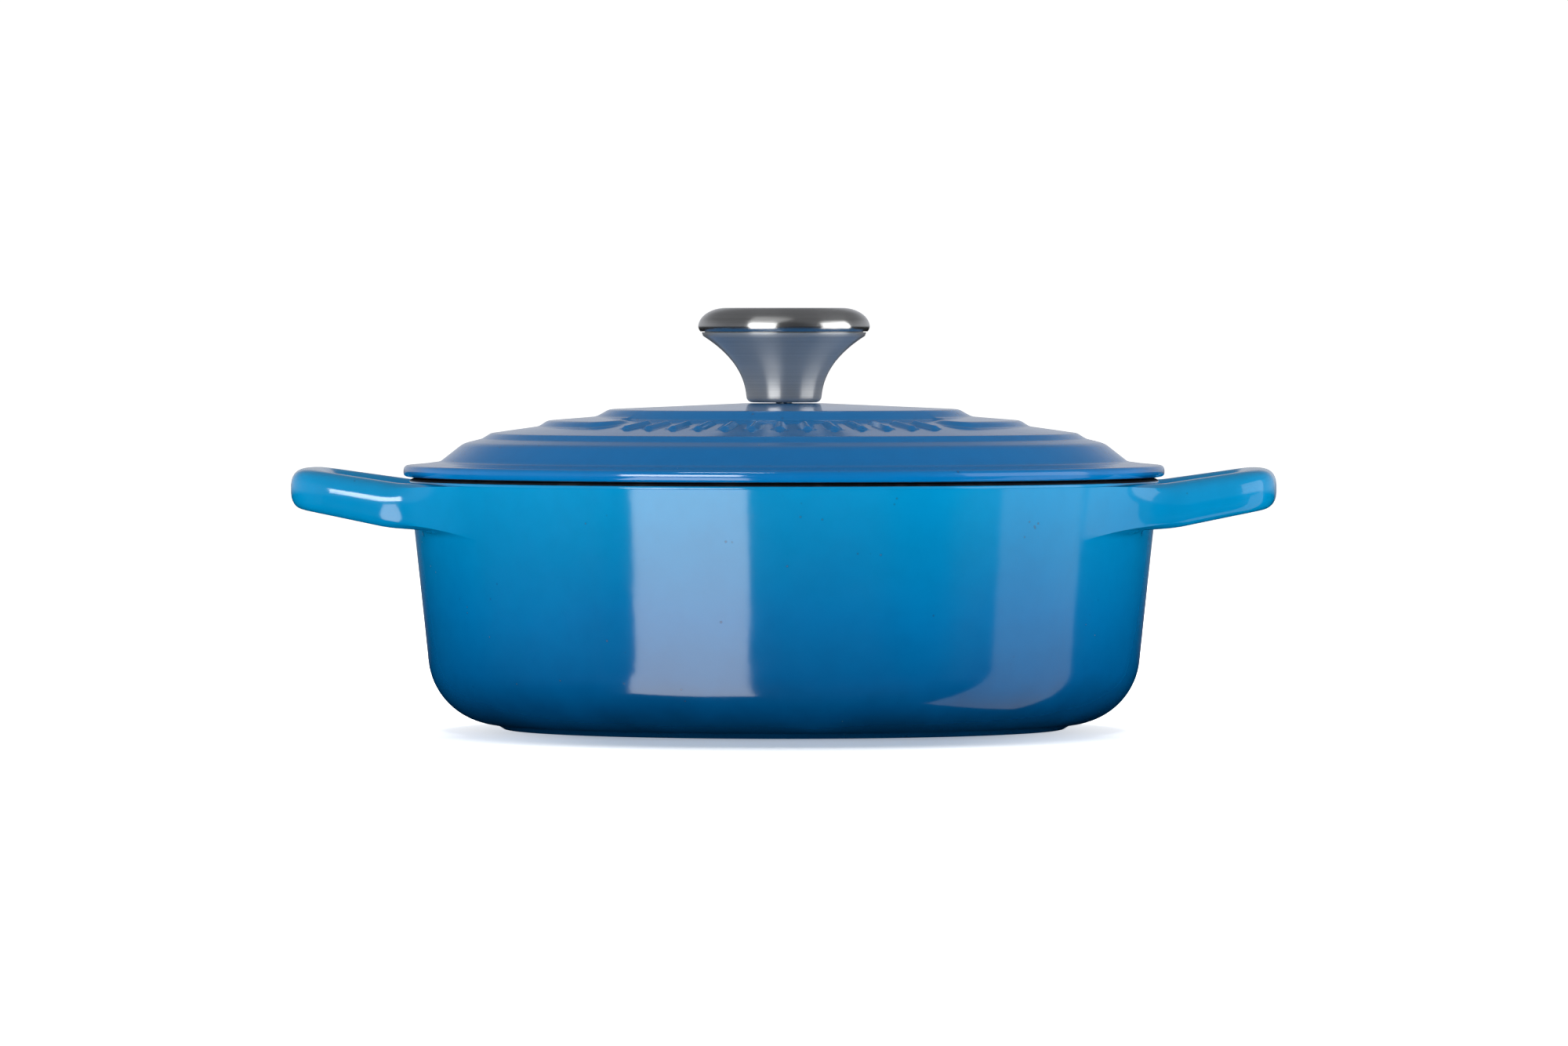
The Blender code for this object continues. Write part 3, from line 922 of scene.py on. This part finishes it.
    def build(self) -> None:
        """Makes the pot from one quarter, mirrored twice."""
        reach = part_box("pot_casting")[1].x / MM
        bm = bmesh.new()
        quarter = math.pi / 2
        outlines = (self.outside_outline(), self.rim_outline(), self.inside_outline())
        for index, outline in enumerate(outlines):
            spin_outline(bm, outline, self.quarter_columns, index, quarter)
        bmesh.ops.remove_doubles(bm, verts=bm.verts[:], dist=MERGE_DISTANCE)
        self.grow_handle(bm, LoopHandle(reach=reach))
        for axis in ("Y", "X"):
            geom = bm.verts[:] + bm.edges[:] + bm.faces[:]
            bmesh.ops.mirror(bm, geom=geom, merge_dist=MERGE_DISTANCE, axis=axis)
        materials = [self.outside.build(), self.rim_enamel, self.lining]
        piece = finish_piece("enamelled_pot", bm, materials)
        stand_for(piece, "pot_casting", Body.POT)


# ------------------------------------------------------------------ lid


def smooth_share(value: float) -> float:
    """A smooth step from 0 to 1, with no slope or bend at its ends."""
    held = min(max(value, 0.0), 1.0)
    return held**3 * (held * (6.0 * held - 15.0) + 10.0)


@dataclass
class Terrace:
    """The lid's middle step: a raised ring, open at the front, with round ends."""

    outer: float = 83.4
    inner: float = 64.2
    riser: float = 5.2
    end_turn: float = math.radians(52.6)  # from the front to the centre of a round end
    level: float = 104.75  # height of its tread where it leaves the first step
    level_r: float = 62.0
    fall: float = 0.078
    softness: float = 0.5

    def lift(self, x: float, y: float, z: float) -> float:
        """How much the terrace raises a point of the land below it.

        Args:
            x: the point's place to the right of the axis.
            y: its place behind the axis.
            z: its height.

        Returns:
            The rise, which is 0 outside the terrace.
        """
        r = math.hypot(x, y)
        middle = (self.inner + self.outer) / 2
        half = (self.outer - self.inner) / 2
        from_front = abs(math.atan2(x, -y))
        depth = self.outer - r
        if from_front < self.end_turn:
            end = Vector((middle * math.sin(self.end_turn), middle * math.cos(self.end_turn)))
            depth = half - (Vector((abs(x), -y)) - end).length
        if depth <= 0.0:
            return 0.0
        above = self.level - self.fall * (r - self.level_r) - z
        meet = 0.5 * (above + math.hypot(above, self.softness))
        return meet * smooth_share(depth / self.riser)


@dataclass
class RibBand:
    """A plain row of short raised ribs on the land in the terrace's gap."""

    count: int = 13
    span: float = math.radians(76.0)
    middle: float = 77.5
    half_length: float = 7.4
    half_width: float = 2.2
    edge: float = 1.7
    height: float = 1.1

    def lift(self, x: float, y: float) -> float:
        """How much the ribs raise a point.

        Args:
            x: the point's place to the right of the axis.
            y: its place behind the axis.

        Returns:
            The rise, which is 0 between the ribs.
        """
        r = math.hypot(x, y)
        from_front = math.atan2(x, -y)
        pitch = self.span / (self.count - 1)
        nearest = round(from_front / pitch) * pitch
        if abs(nearest) > self.span / 2 + pitch / 2:
            return 0.0
        across = r * (from_front - nearest)
        along = max(abs(r - self.middle) - (self.half_length - self.half_width), 0.0)
        depth = self.half_width - math.hypot(across, along)
        return self.height * smooth_share(depth / self.edge)


@dataclass
class LidCasting:
    """The lid: stepped dome, flange, locating ring with three lugs, and the screw's hole."""

    outside: OutsideEnamel
    lining: bpy.types.Material
    rim_enamel: bpy.types.Material
    terrace: Terrace = field(default_factory=Terrace)
    ribs: RibBand = field(default_factory=RibBand)
    columns: int = 480
    hole: float = 3.4
    seat: float = 84.4
    ring_radius: float = 119.2
    underside_middle: float = 104.4
    shaped: tuple[float, float] = (54.0, 90.0)  # radii between which the top isn't simply turned
    plain_step: float = 5.0  # longest steps of the outlines
    shaped_step: float = 0.85
    edge_step: float = 2.0
    lug_count: int = 3
    lug_size: tuple[float, float, float] = (3.1, 14.0, 4.2)
    lug_rounding: float = 0.8

    def top_outline(self, edge: float, pad: float) -> list[Vector]:
        """From the hole over the three steps and round the flange's edge.

        Args:
            edge: the lid's outer radius.
            pad: the height of the flat that the knob stands on.

        Returns:
            The outline, fine across the steps.
        """
        middle = rounded((self.hole, pad), (13.5, pad, 40.0), (50.0, 107.6))
        steps = rounded(
            (50.0, 107.6), (58.8, 107.15, 4.6), (64.0, 104.1, 4.0), (98.4, 99.2, 3.0),
            (101.4, 97.35, 4.0), (107.6, 95.8, 8.0), (115.4, 89.7, 3.6), (121.0, 88.95),
            turn_step=4.0,
        )
        flange = rounded(
            (121.0, 88.95), (edge - 0.3, 88.4, 1.5), (edge, 86.5, 4.0), (edge - 0.2, 84.7, 1.2),
            (edge - 1.9, 84.7),
        )
        outline = refined(middle, self.plain_step)
        outline += refined(steps, self.shaped_step)[1:]
        return outline + refined(flange, self.edge_step)[1:]

    def contact_outline(self, edge: float, ring_bottom: float) -> list[Vector]:
        """The matte band: under the flange, over the seat and round the locating ring.

        Args:
            edge: the lid's outer radius.
            ring_bottom: the height of the locating ring's bottom.

        Returns:
            The outline.
        """
        return rounded(
            (edge - 1.9, 84.7), (125.4, 84.7), (124.9, self.seat),
            (self.ring_radius + 0.4, self.seat, 0.8), (self.ring_radius, ring_bottom, 1.2),
            (115.0, ring_bottom, 1.2), (114.7, ring_bottom + 2.2),
        )

    def lining_outline(self, ring_bottom: float) -> list[Vector]:
        """The enamelled hollow under the lid, which follows its steps."""
        hollow = rounded(
            (114.7, ring_bottom + 2.2), (114.0, 86.0, 3.0), (108.6, 90.6, 8.0), (99.0, 93.6, 5.0),
            (94.6, 95.6, 5.0), (66.6, 99.2, 5.0), (60.4, 102.4, 5.0),
            (15.0, self.underside_middle, 20.0), (self.hole, self.underside_middle),
        )
        return refined(hollow, self.plain_step)

    def shape_top(self, verts: Iterable[BMVert]) -> None:
        """Raises the terrace and the ribs out of the turned surface."""
        for vert in verts:
            x, y, z = vert.co
            if self.shaped[0] < math.hypot(x, y) < self.shaped[1]:
                vert.co.z = z + self.terrace.lift(x, y, z) + self.ribs.lift(x, y)

    def turn(self, bm: BMesh, outline: Sequence[Vector], material: int) -> list[BMVert]:
        """Turns one of the lid's outlines, from a narrow sector that is doubled."""
        return spin_outline(bm, outline, self.columns, material, doublings=5)

    def add_lugs(self, bm: BMesh, ring_bottom: float) -> None:
        """Adds the lugs that centre the lid in the pot's mouth.

        Args:
            bm: the lid's mesh.
            ring_bottom: the height of the locating ring's bottom.
        """
        middle = (self.ring_radius + 0.05, 0.0, ring_bottom + 2.6)
        for index in range(self.lug_count):
            made = bmesh.ops.create_cube(bm, size=1.0)["verts"]
            bmesh.ops.scale(bm, verts=made, vec=self.lug_size)
            bmesh.ops.translate(bm, verts=made, vec=middle)
            turn_verts(bm, made, math.tau * index / self.lug_count + math.pi / 2)
            for face in {face for vert in made for face in vert.link_faces}:
                face.material_index = 1
            bmesh.ops.bevel(
                bm,
                geom=list({edge for vert in made for edge in vert.link_edges}),
                offset=self.lug_rounding,
                affect="EDGES",
                segments=4,
                profile=0.5,
                material=-1,
            )

    def build(self) -> None:
        """Makes the lid."""
        low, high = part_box("lid_casting")
        edge = high.x / MM
        ring_bottom = low.z / MM
        bm = bmesh.new()
        top = self.turn(bm, self.top_outline(edge, high.z / MM), 0)
        self.shape_top(top)
        self.turn(bm, self.contact_outline(edge, ring_bottom), 1)
        self.turn(bm, self.lining_outline(ring_bottom), 2)
        hole = [Vector((self.hole, self.underside_middle)), Vector((self.hole, high.z / MM))]
        self.turn(bm, hole, 1)
        self.add_lugs(bm, ring_bottom)
        materials = [self.outside.build(), self.rim_enamel, self.lining]
        piece = finish_piece("enamelled_lid", bm, materials)
        stand_for(piece, "lid_casting", Body.LID)


# ------------------------------------------------------------------ knob


@dataclass
class Knob:
    """The hollow knob: a polished flared stem and a satin cap with a rolled edge."""

    stem_steel: bpy.types.Material
    cap_steel: bpy.types.Material
    columns: int = 160
    hole: float = 3.4
    seam: float = 23.5  # heights are counted from the stem's bottom
    gap: float = 0.3
    widest: float = 25.3
    cap_wall: float = 1.2
    crown_radius: float = 19.5  # the flat middle of the cap's top
    crown_rounding: float = 9.3

    def stem_outline(self, base: float) -> list[Vector]:
        """The stem's closed section.

        Args:
            base: the height of its bottom.

        Returns:
            The outline, up the outside and back down the hollow.
        """
        foot = rounded((self.hole, base), (12.35, base, 2.0), (12.7, base + 2.4))
        flare = ((12.7, 2.4), (13.4, 9.5), (17.6, 16.2), (27.2, 22.3))
        hollow = ((25.1, 22.4), (16.3, 17.3), (12.1, 10.3), (11.4, 3.4))
        outside, inside = (
            [cubic(*(Vector((r, base + z)) for r, z in curve), i / steps) for i in range(steps + 1)]
            for curve, steps in ((flare, 26), (hollow, 18))
        )
        rim = rounded(
            (27.2, base + 22.3), (27.6, base + self.seam, 0.06), (26.6, base + self.seam),
            (26.6, base + 24.8, 0.3), (25.6, base + 24.8, 0.3), (25.6, base + 22.9),
        )
        floor = ((10.4, base + 1.5), (self.hole, base + 1.5), (self.hole, base))
        return foot + outside[1:] + rim[1:] + inside + [Vector(point) for point in floor]

    def cap_outline(self, base: float, top: float) -> list[Vector]:
        """The cap's section from the middle of its top round the edge to the middle inside.

        Args:
            base: the height of the stem's bottom.
            top: the height of the cap's top.

        Returns:
            The outline.
        """
        edge_z = base + self.widest
        top_inside = top - self.cap_wall
        centre = Vector((self.crown_radius, edge_z))
        outside = arc(centre, (self.crown_rounding, top - edge_z), 90.0, 0.0, 24)
        bottom = base + self.seam + self.gap
        lip = rounded(
            (outside[-1].x, edge_z), (28.62, base + 24.6, 1.4), (28.1, bottom, 0.3),
            (27.5, bottom, 0.2), (27.4, base + self.seam + 1.0),
        )
        reach = self.crown_rounding - self.cap_wall
        inside = arc(centre, (reach, top_inside - edge_z), 0.0, 90.0, 16)
        crown = refined([Vector((0.0, top)), outside[0]], 3.0)
        ceiling = refined([inside[-1], Vector((0.0, top_inside))], 5.0)
        return crown + outside[1:] + lip[1:] + inside + ceiling[1:]

    def build(self) -> None:
        """Makes the stem and the cap."""
        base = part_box("knob_stem")[0].z / MM
        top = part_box("knob_cap")[1].z / MM
        outline = self.stem_outline(base)
        stem = turned_piece("flared_stem", outline, self.columns, self.stem_steel, doublings=4)
        stand_for(stem, "knob_stem", Body.KNOB)
        outline = self.cap_outline(base, top)
        cap = turned_piece("satin_cap", outline, self.columns, self.cap_steel, 60.0, doublings=4)
        stand_for(cap, "knob_cap", Body.KNOB)


# ------------------------------------------------------------------ screw and washers


@dataclass
class KnobFixing:
    """What holds the knob on: the screw, its two washers and the nut inside the stem."""

    steel: bpy.types.Material
    columns: int = 72
    pitch: float = 1.0
    core: float = 2.45
    crest: float = 2.95
    head: float = 7.0
    bore: float = 3.3
    slit: float = math.radians(10.0)
    spring: float = 0.16  # how far the split washer climbs
    head_height: float = 3.6
    steps_per_turn: int = 24
    thread_margin: float = 1.2  # between the thread and both ends of the shank
    recess: tuple[float, float, float] = (4.4, 1.05, 4.2)

    def washer_section(
        self, outer: float, span: tuple[float, float], roundings: Sequence[float], split: float
    ) -> list[Vector]:
        """The section of a washer, from the middle of its bore round to there again.

        Args:
            outer: its outer radius.
            span: the heights of its bottom and its top.
            roundings: those of its four corners, from the bottom of the bore outwards.
            split: how far the last point lies above the first.

        Returns:
            The outline.
        """
        bottom, top = span
        middle = (bottom + top) / 2 - split / 2
        places = ((self.bore, bottom), (outer, bottom), (outer, top), (self.bore, top))
        corners = [(r, z, rounding) for (r, z), rounding in zip(places, roundings)]
        return rounded((self.bore, middle), *corners, (self.bore, middle + split))

    def build_flat_washer(self) -> None:
        """Makes the plain washer, its edges rounded by stamping."""
        low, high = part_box("flat_washer")
        span = (low.z / MM, high.z / MM)
        outline = self.washer_section(high.x / MM, span, (0.15, 0.35, 0.2, 0.25), 0.0)
        piece = turned_piece("plain_washer", outline, self.columns, self.steel)
        stand_for(piece, "flat_washer", Body.WASHERS)

    def build_spring_washer(self) -> None:
        """Makes the split washer: a square section that rises a little over its turn."""
        low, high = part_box("spring_washer")
        span = (low.z / MM, high.z / MM - self.spring)
        section = self.washer_section(high.x / MM, span, (0.2,) * 4, 0.05)
        bm = bmesh.new()
        wind_section(bm, section, math.tau - self.slit, self.spring, self.columns)
        piece = finish_piece("split_washer", bm, [self.steel])
        stand_for(piece, "spring_washer", Body.WASHERS)

    def add_thread(self, bm: BMesh, start: float, end: float) -> None:
        """Winds the screw's thread round its core.

        Args:
            bm: the screw's mesh.
            start: the height of the first turn.
            end: the height that the last turn stays under.
        """
        half, root, flat = self.pitch * 0.46, self.core - 0.1, 0.06
        corners = ((root, -half), (self.crest, -flat), (self.crest, flat), (root, half))
        turns = int((end - start) / self.pitch)
        section = [Vector((r, start + z)) for r, z in corners]
        wind_section(bm, section, math.tau * turns, self.pitch * turns, self.steps_per_turn * turns)

    def build_screw(self) -> None:
        """Makes the screw with its domed head, cross recess and thread."""
        low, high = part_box("knob_screw")
        bottom, tip = low.z / MM, high.z / MM
        seat = bottom + self.head_height
        outline = rounded(
            (0.0, bottom), (3.2, bottom, 2.0), (self.head, seat - 1.3, 2.4),
            (self.head, seat, 0.25), (self.core, seat, 0.3), (self.core, tip - 0.9, 0.2),
            (self.core - 0.8, tip), (0.0, tip),
        )
        blank = turned_piece("screw_blank", outline, self.columns, self.steel, sharp=30.0)
        for index in range(2):
            carve(blank, self.recess_cutter(bottom, math.pi / 2 * index))
        bm = bmesh.new()
        bm.from_mesh(blank.data)
        bpy.data.objects.remove(blank, do_unlink=True)
        bmesh.ops.scale(bm, vec=(1 / MM, 1 / MM, 1 / MM), verts=bm.verts[:])
        self.add_thread(bm, seat + self.thread_margin, tip - self.thread_margin)
        screw = finish_piece("m6_screw", bm, [self.steel], sharp=30.0)
        stand_for(screw, "knob_screw", Body.SCREW)

    def recess_cutter(self, bottom: float, angle: float) -> bpy.types.Object:
        """Makes the tapered bar that cuts one arm of the cross recess.

        Args:
            bottom: the height of the screw head's lowest point.
            angle: the arm's turn about the screw's axis.

        Returns:
            The bar as an object.
        """
        bm = bmesh.new()
        bmesh.ops.create_cone(bm, cap_ends=True, segments=4, radius1=1.0, radius2=0.55, depth=1.0)
        turn_verts(bm, bm.verts[:], math.pi / 4)
        bmesh.ops.scale(bm, verts=bm.verts[:], vec=self.recess)
        turn_verts(bm, bm.verts[:], angle)
        bmesh.ops.translate(bm, verts=bm.verts[:], vec=(0.0, 0.0, bottom))
        return finish_piece("recess", bm, [self.steel])

    def dress_nut(self) -> None:
        """Gives the nut, whose CAD shape is right, the same steel."""
        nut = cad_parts["knob_nut"]
        for slot in nut.material_slots:
            slot.material = self.steel
        log.info("knob_nut keeps its CAD shape")

    def build(self) -> None:
        """Makes the washers and the screw and dresses the nut."""
        self.build_flat_washer()
        self.build_spring_washer()
        self.build_screw()
        self.dress_nut()


# ------------------------------------------------------------------ studio


class Reach(Enum):
    """What a light does: it shows in polished surfaces, or it lights matt colour."""

    MIRRORED = "mirrored"
    SPREAD = "spread"


class Target(Enum):
    """What a light falls on."""

    ENAMEL = "enamel"
    STEEL = "steel"
    PIECES = "pieces"
    FLOOR = "floor"


@dataclass(frozen=True)
class Softbox:
    """An area light aimed at the casserole. Angles are in degrees, azimuth from the front."""

    name: str
    reach: Reach
    target: Target
    azimuth: float
    elevation: float
    width: float
    height: float
    radiance: float
    distance: float = 1.7
    roll: float = 0.0
    aim: tuple[float, float, float] = (0.0, 0.0, 0.07)

    def build(self, targets: dict[Target, bpy.types.Collection]) -> None:
        """Hangs the light.

        Args:
            targets: the objects of each kind that a light may fall on.
        """
        lamp = bpy.data.lights.new(self.name, "AREA")
        lamp.shape = "RECTANGLE"
        lamp.size = self.width
        lamp.size_y = self.height
        lamp.energy = self.radiance * math.pi * self.width * self.height
        light = bpy.data.objects.new(self.name, lamp)
        light.visible_camera = False
        light.visible_glossy = self.reach is Reach.MIRRORED
        light.visible_diffuse = self.reach is Reach.SPREAD
        turn = math.radians(self.azimuth)
        tilt = math.radians(self.elevation)
        flat = math.cos(tilt)
        outwards = Vector((math.sin(turn) * flat, -math.cos(turn) * flat, math.sin(tilt)))
        light.location = Vector(self.aim) + outwards * self.distance
        rolled = outwards.to_track_quat("Z", "Y").to_matrix()
        rolled @= Matrix.Rotation(math.radians(self.roll), 3, "Z")
        light.rotation_euler = rolled.to_euler()
        bpy.context.scene.collection.objects.link(light)
        light.light_linking.receiver_collection = targets[self.target]


# Azimuth and elevation in degrees, width and height in metres, then radiance.
LIGHTS = (
    Softbox("key_low", Reach.MIRRORED, Target.PIECES, -30.3, -27.0, 1.1, 1.54, 3.6, roll=-11.0),
    Softbox("key_high", Reach.MIRRORED, Target.ENAMEL, -29.5, 9.0, 1.1, 0.32, 11.0),
    Softbox("key_steel", Reach.MIRRORED, Target.STEEL, -29.5, 14.0, 1.16, 1.5, 3.1),
    Softbox("key_crown", Reach.MIRRORED, Target.STEEL, -29.5, 60.0, 1.16, 1.1, 0.5),
    Softbox("side_low", Reach.MIRRORED, Target.PIECES, 91.0, -29.0, 1.08, 1.8, 0.62, roll=12.0),
    Softbox("side_high", Reach.MIRRORED, Target.ENAMEL, 79.0, 14.0, 1.50, 0.8, 1.2),
    Softbox("side_steel", Reach.MIRRORED, Target.STEEL, 78.0, 0.0, 1.50, 2.4, 2.6),
    Softbox("top_strip", Reach.MIRRORED, Target.ENAMEL, -26.0, 62.0, 0.62, 0.2, 12.0),
    Softbox("front_fill", Reach.SPREAD, Target.PIECES, 0.0, 4.0, 3.6, 2.2, 1.42, distance=2.6),
    Softbox("left_fill", Reach.SPREAD, Target.PIECES, -82.0, -6.0, 2.2, 2.0, 2.6, distance=2.2),
    Softbox("right_fill", Reach.SPREAD, Target.PIECES, 82.0, -6.0, 2.2, 2.0, 2.9, distance=2.2),
    Softbox("back_fill", Reach.SPREAD, Target.PIECES, 180.0, 0.0, 3.6, 2.2, 1.3, distance=2.6),
    Softbox("bounce", Reach.SPREAD, Target.PIECES, 0.0, -42.0, 4.4, 1.9, 1.15, distance=2.6),
    Softbox("overhead", Reach.SPREAD, Target.PIECES, 0.0, 88.0, 2.6, 2.6, 0.62, distance=1.9),
    Softbox("back_light", Reach.SPREAD, Target.FLOOR, 180.0, 54.0, 1.3, 1.3, 13.0, distance=2.0),
)


@dataclass
class Studio:
    """A plain white floor and background, soft lights and the camera."""

    camera_distance: float = 4.0
    camera_height: float = 0.148
    camera_azimuth: float = 1.0
    aim_height: float = 0.069
    lens: float = 273.6
    sky_tint: Colour = (0.96, 0.98, 1.04, 1.0)
    painted_floor_shadow: Colour = (0.30, 0.34, 0.39, 1.0)  # painted contact shadow: how dark the floor's glow is close round the foot
    shade_span: tuple[float, float] = (0.06, 0.2)  # distances over which the painted shadow fades to white
    shade_shift: float = 0.08  # how far before the axis the painted shadow's middle lies
    shade_squash: tuple[float, float] = (1.6, 0.5)  # weights of sideways and forward distance
    lights: tuple[Softbox, ...] = LIGHTS

    def build_camera(self) -> None:
        """Sets the camera, level with the knob and far off."""
        lens = bpy.data.cameras.new("studio_camera")
        lens.lens = self.lens
        lens.sensor_width = 36.0
        lens.clip_end = 60.0
        camera = bpy.data.objects.new("studio_camera", lens)
        turn = math.radians(self.camera_azimuth)
        place = Vector((math.sin(turn), -math.cos(turn), 0.0)) * self.camera_distance
        camera.location = Vector((place.x, place.y, self.camera_height))
        aim = Vector((0.0, 0.0, self.aim_height)) - camera.location
        camera.rotation_euler = aim.to_track_quat("-Z", "Y").to_euler()
        bpy.context.scene.collection.objects.link(camera)
        bpy.context.scene.camera = camera

    def build_floor(self) -> bpy.types.Object:
        """Lays a wide white floor, shaded where the pot keeps light off; its glow holds a painted
        shadow round the foot.

        Returns:
            The floor.
        """
        bm = bmesh.new()
        bmesh.ops.create_grid(bm, x_segments=8, y_segments=8, size=20000.0)
        book = MaterialBook("white_floor")
        x, y, _ = book.axis_parts()
        # Painted contact shadow: the floor's glow turns grey close round the foot, reaching further
        # to the front.
        ahead = y + self.shade_shift
        sideways, forward = self.shade_squash
        distance = (x * x * sideways + ahead * ahead * forward) ** 0.5
        far = distance.between(*self.shade_span)
        material = book.finish(
            Base_Color=(0.9, 0.9, 0.9, 1.0),
            Roughness=0.9,
            Specular_IOR_Level=0.0,
            Emission_Color=book.mix(far, self.painted_floor_shadow, WHITE),
            Emission_Strength=1.0,
        )
        floor = finish_piece("studio_floor", bm, [material])
        floor.visible_glossy = floor.visible_diffuse = floor.visible_shadow = False
        return floor

    def collect_targets(self, floor: bpy.types.Object) -> dict[Target, bpy.types.Collection]:
        """Sorts the objects by what they're made of, so that a light can pick them.

        Args:
            floor: the studio's floor.

        Returns:
            A collection for each kind, outside the scene's own.
        """
        targets = {target: bpy.data.collections.new(target.value) for target in Target}
        for piece in [item for item in bpy.context.scene.objects if item.type == "MESH"]:
            if piece is floor:
                targets[Target.FLOOR].objects.link(piece)
                continue
            enamelled = any("enamel" in slot.name for slot in piece.material_slots)
            targets[Target.ENAMEL if enamelled else Target.STEEL].objects.link(piece)
            targets[Target.PIECES].objects.link(piece)
        return targets

    def build_world(self) -> None:
        """Surrounds the set: white to the eye, and grey walls to what it lights."""
        world = bpy.data.worlds.new("studio_world")
        world.use_nodes = True
        book = NodeBook(world.node_tree)
        _, along, up = book.parts(book.node("ShaderNodeTexCoord", output="Generated"))
        # Each line gives a direction's span and the brightness at both ends of it.
        front = along.between(-0.85, -0.55, 0.05, 0.24)
        behind = along.between(-0.2, 0.9, 0.0, 0.31)
        low = up.between(0.06, 0.5, 1.0, 0.15)
        high = up.between(0.25, 0.6, 1.0, 0.7)
        above = up.between(-0.065, 0.03)
        shades = ((self.sky_tint, (front + behind * low) * high * above), (WHITE, 1.05))
        felt, shown = (
            book.node("ShaderNodeBackground", inputs={"Color": tint, "Strength": strength})
            for tint, strength in shades
        )
        seen = book.node("ShaderNodeLightPath", output="Is Camera Ray")
        sky = book.node("ShaderNodeMixShader", inputs={0: seen, 1: felt, 2: shown})
        book.tree.nodes.remove(book.tree.nodes["Background"])
        book.feed(book.tree.nodes["World Output"].inputs["Surface"], sky)
        bpy.context.scene.world = world

    def build(self) -> None:
        """Sets up the whole studio."""
        self.build_camera()
        floor = self.build_floor()
        self.build_world()
        targets = self.collect_targets(floor)
        for light in self.lights:
            light.build(targets)
        settings = bpy.context.scene.view_settings
        settings.view_transform = "Standard"
        settings.look = "None"
        log.info("studio: %d lights", len(self.lights))


# ------------------------------------------------------------------ the whole


def pot_enamel() -> OutsideEnamel:
    """The pot's blue, bright under the rim and deep at the foot."""
    shades = (
        (2.0, screen_colour(2, 50, 86)),
        (9.0, screen_colour(1, 68, 116)),
        (20.0, screen_colour(0, 92, 150)),
        (40.0, screen_colour(0, 115, 177)),
        (62.0, screen_colour(0, 134, 193)),
        (84.0, screen_colour(0, 154, 214)),
    )
    return OutsideEnamel("pot_blue_enamel", shades)


def lid_enamel() -> OutsideEnamel:
    """The lid's deeper, more even blue."""
    shades = (
        (84.0, screen_colour(0, 123, 195)),
        (97.0, screen_colour(0, 121, 192)),
        (110.0, screen_colour(0, 127, 199)),
    )
    return OutsideEnamel("lid_blue_enamel", shades)


def main() -> None:
    """Builds the casserole and the studio."""
    logging.basicConfig(level=logging.INFO, format="%(name)s: %(message)s")
    lining = LiningEnamel().build()
    rim_enamel = MatteEnamel().build()
    grey = screen_colour(190, 190, 189)
    turned = Grain.ROUND_THE_AXIS
    polished = Steel("polished_steel", grey, 0.32, 0.62, turned, stretch=0.9).build()
    satin = Steel("satin_steel", grey, 0.18, 0.95, turned, line_depth=0.000003, stretch=0.9).build()
    fastener = Steel("fastener_steel", screen_colour(190, 190, 188), 0.26, 1.0).build()
    PotCasting(pot_enamel(), lining, rim_enamel).build()
    LidCasting(lid_enamel(), lining, rim_enamel).build()
    Knob(polished, satin).build()
    KnobFixing(fastener).build()
    Studio().build()


if __name__ == "__main__":
    main()
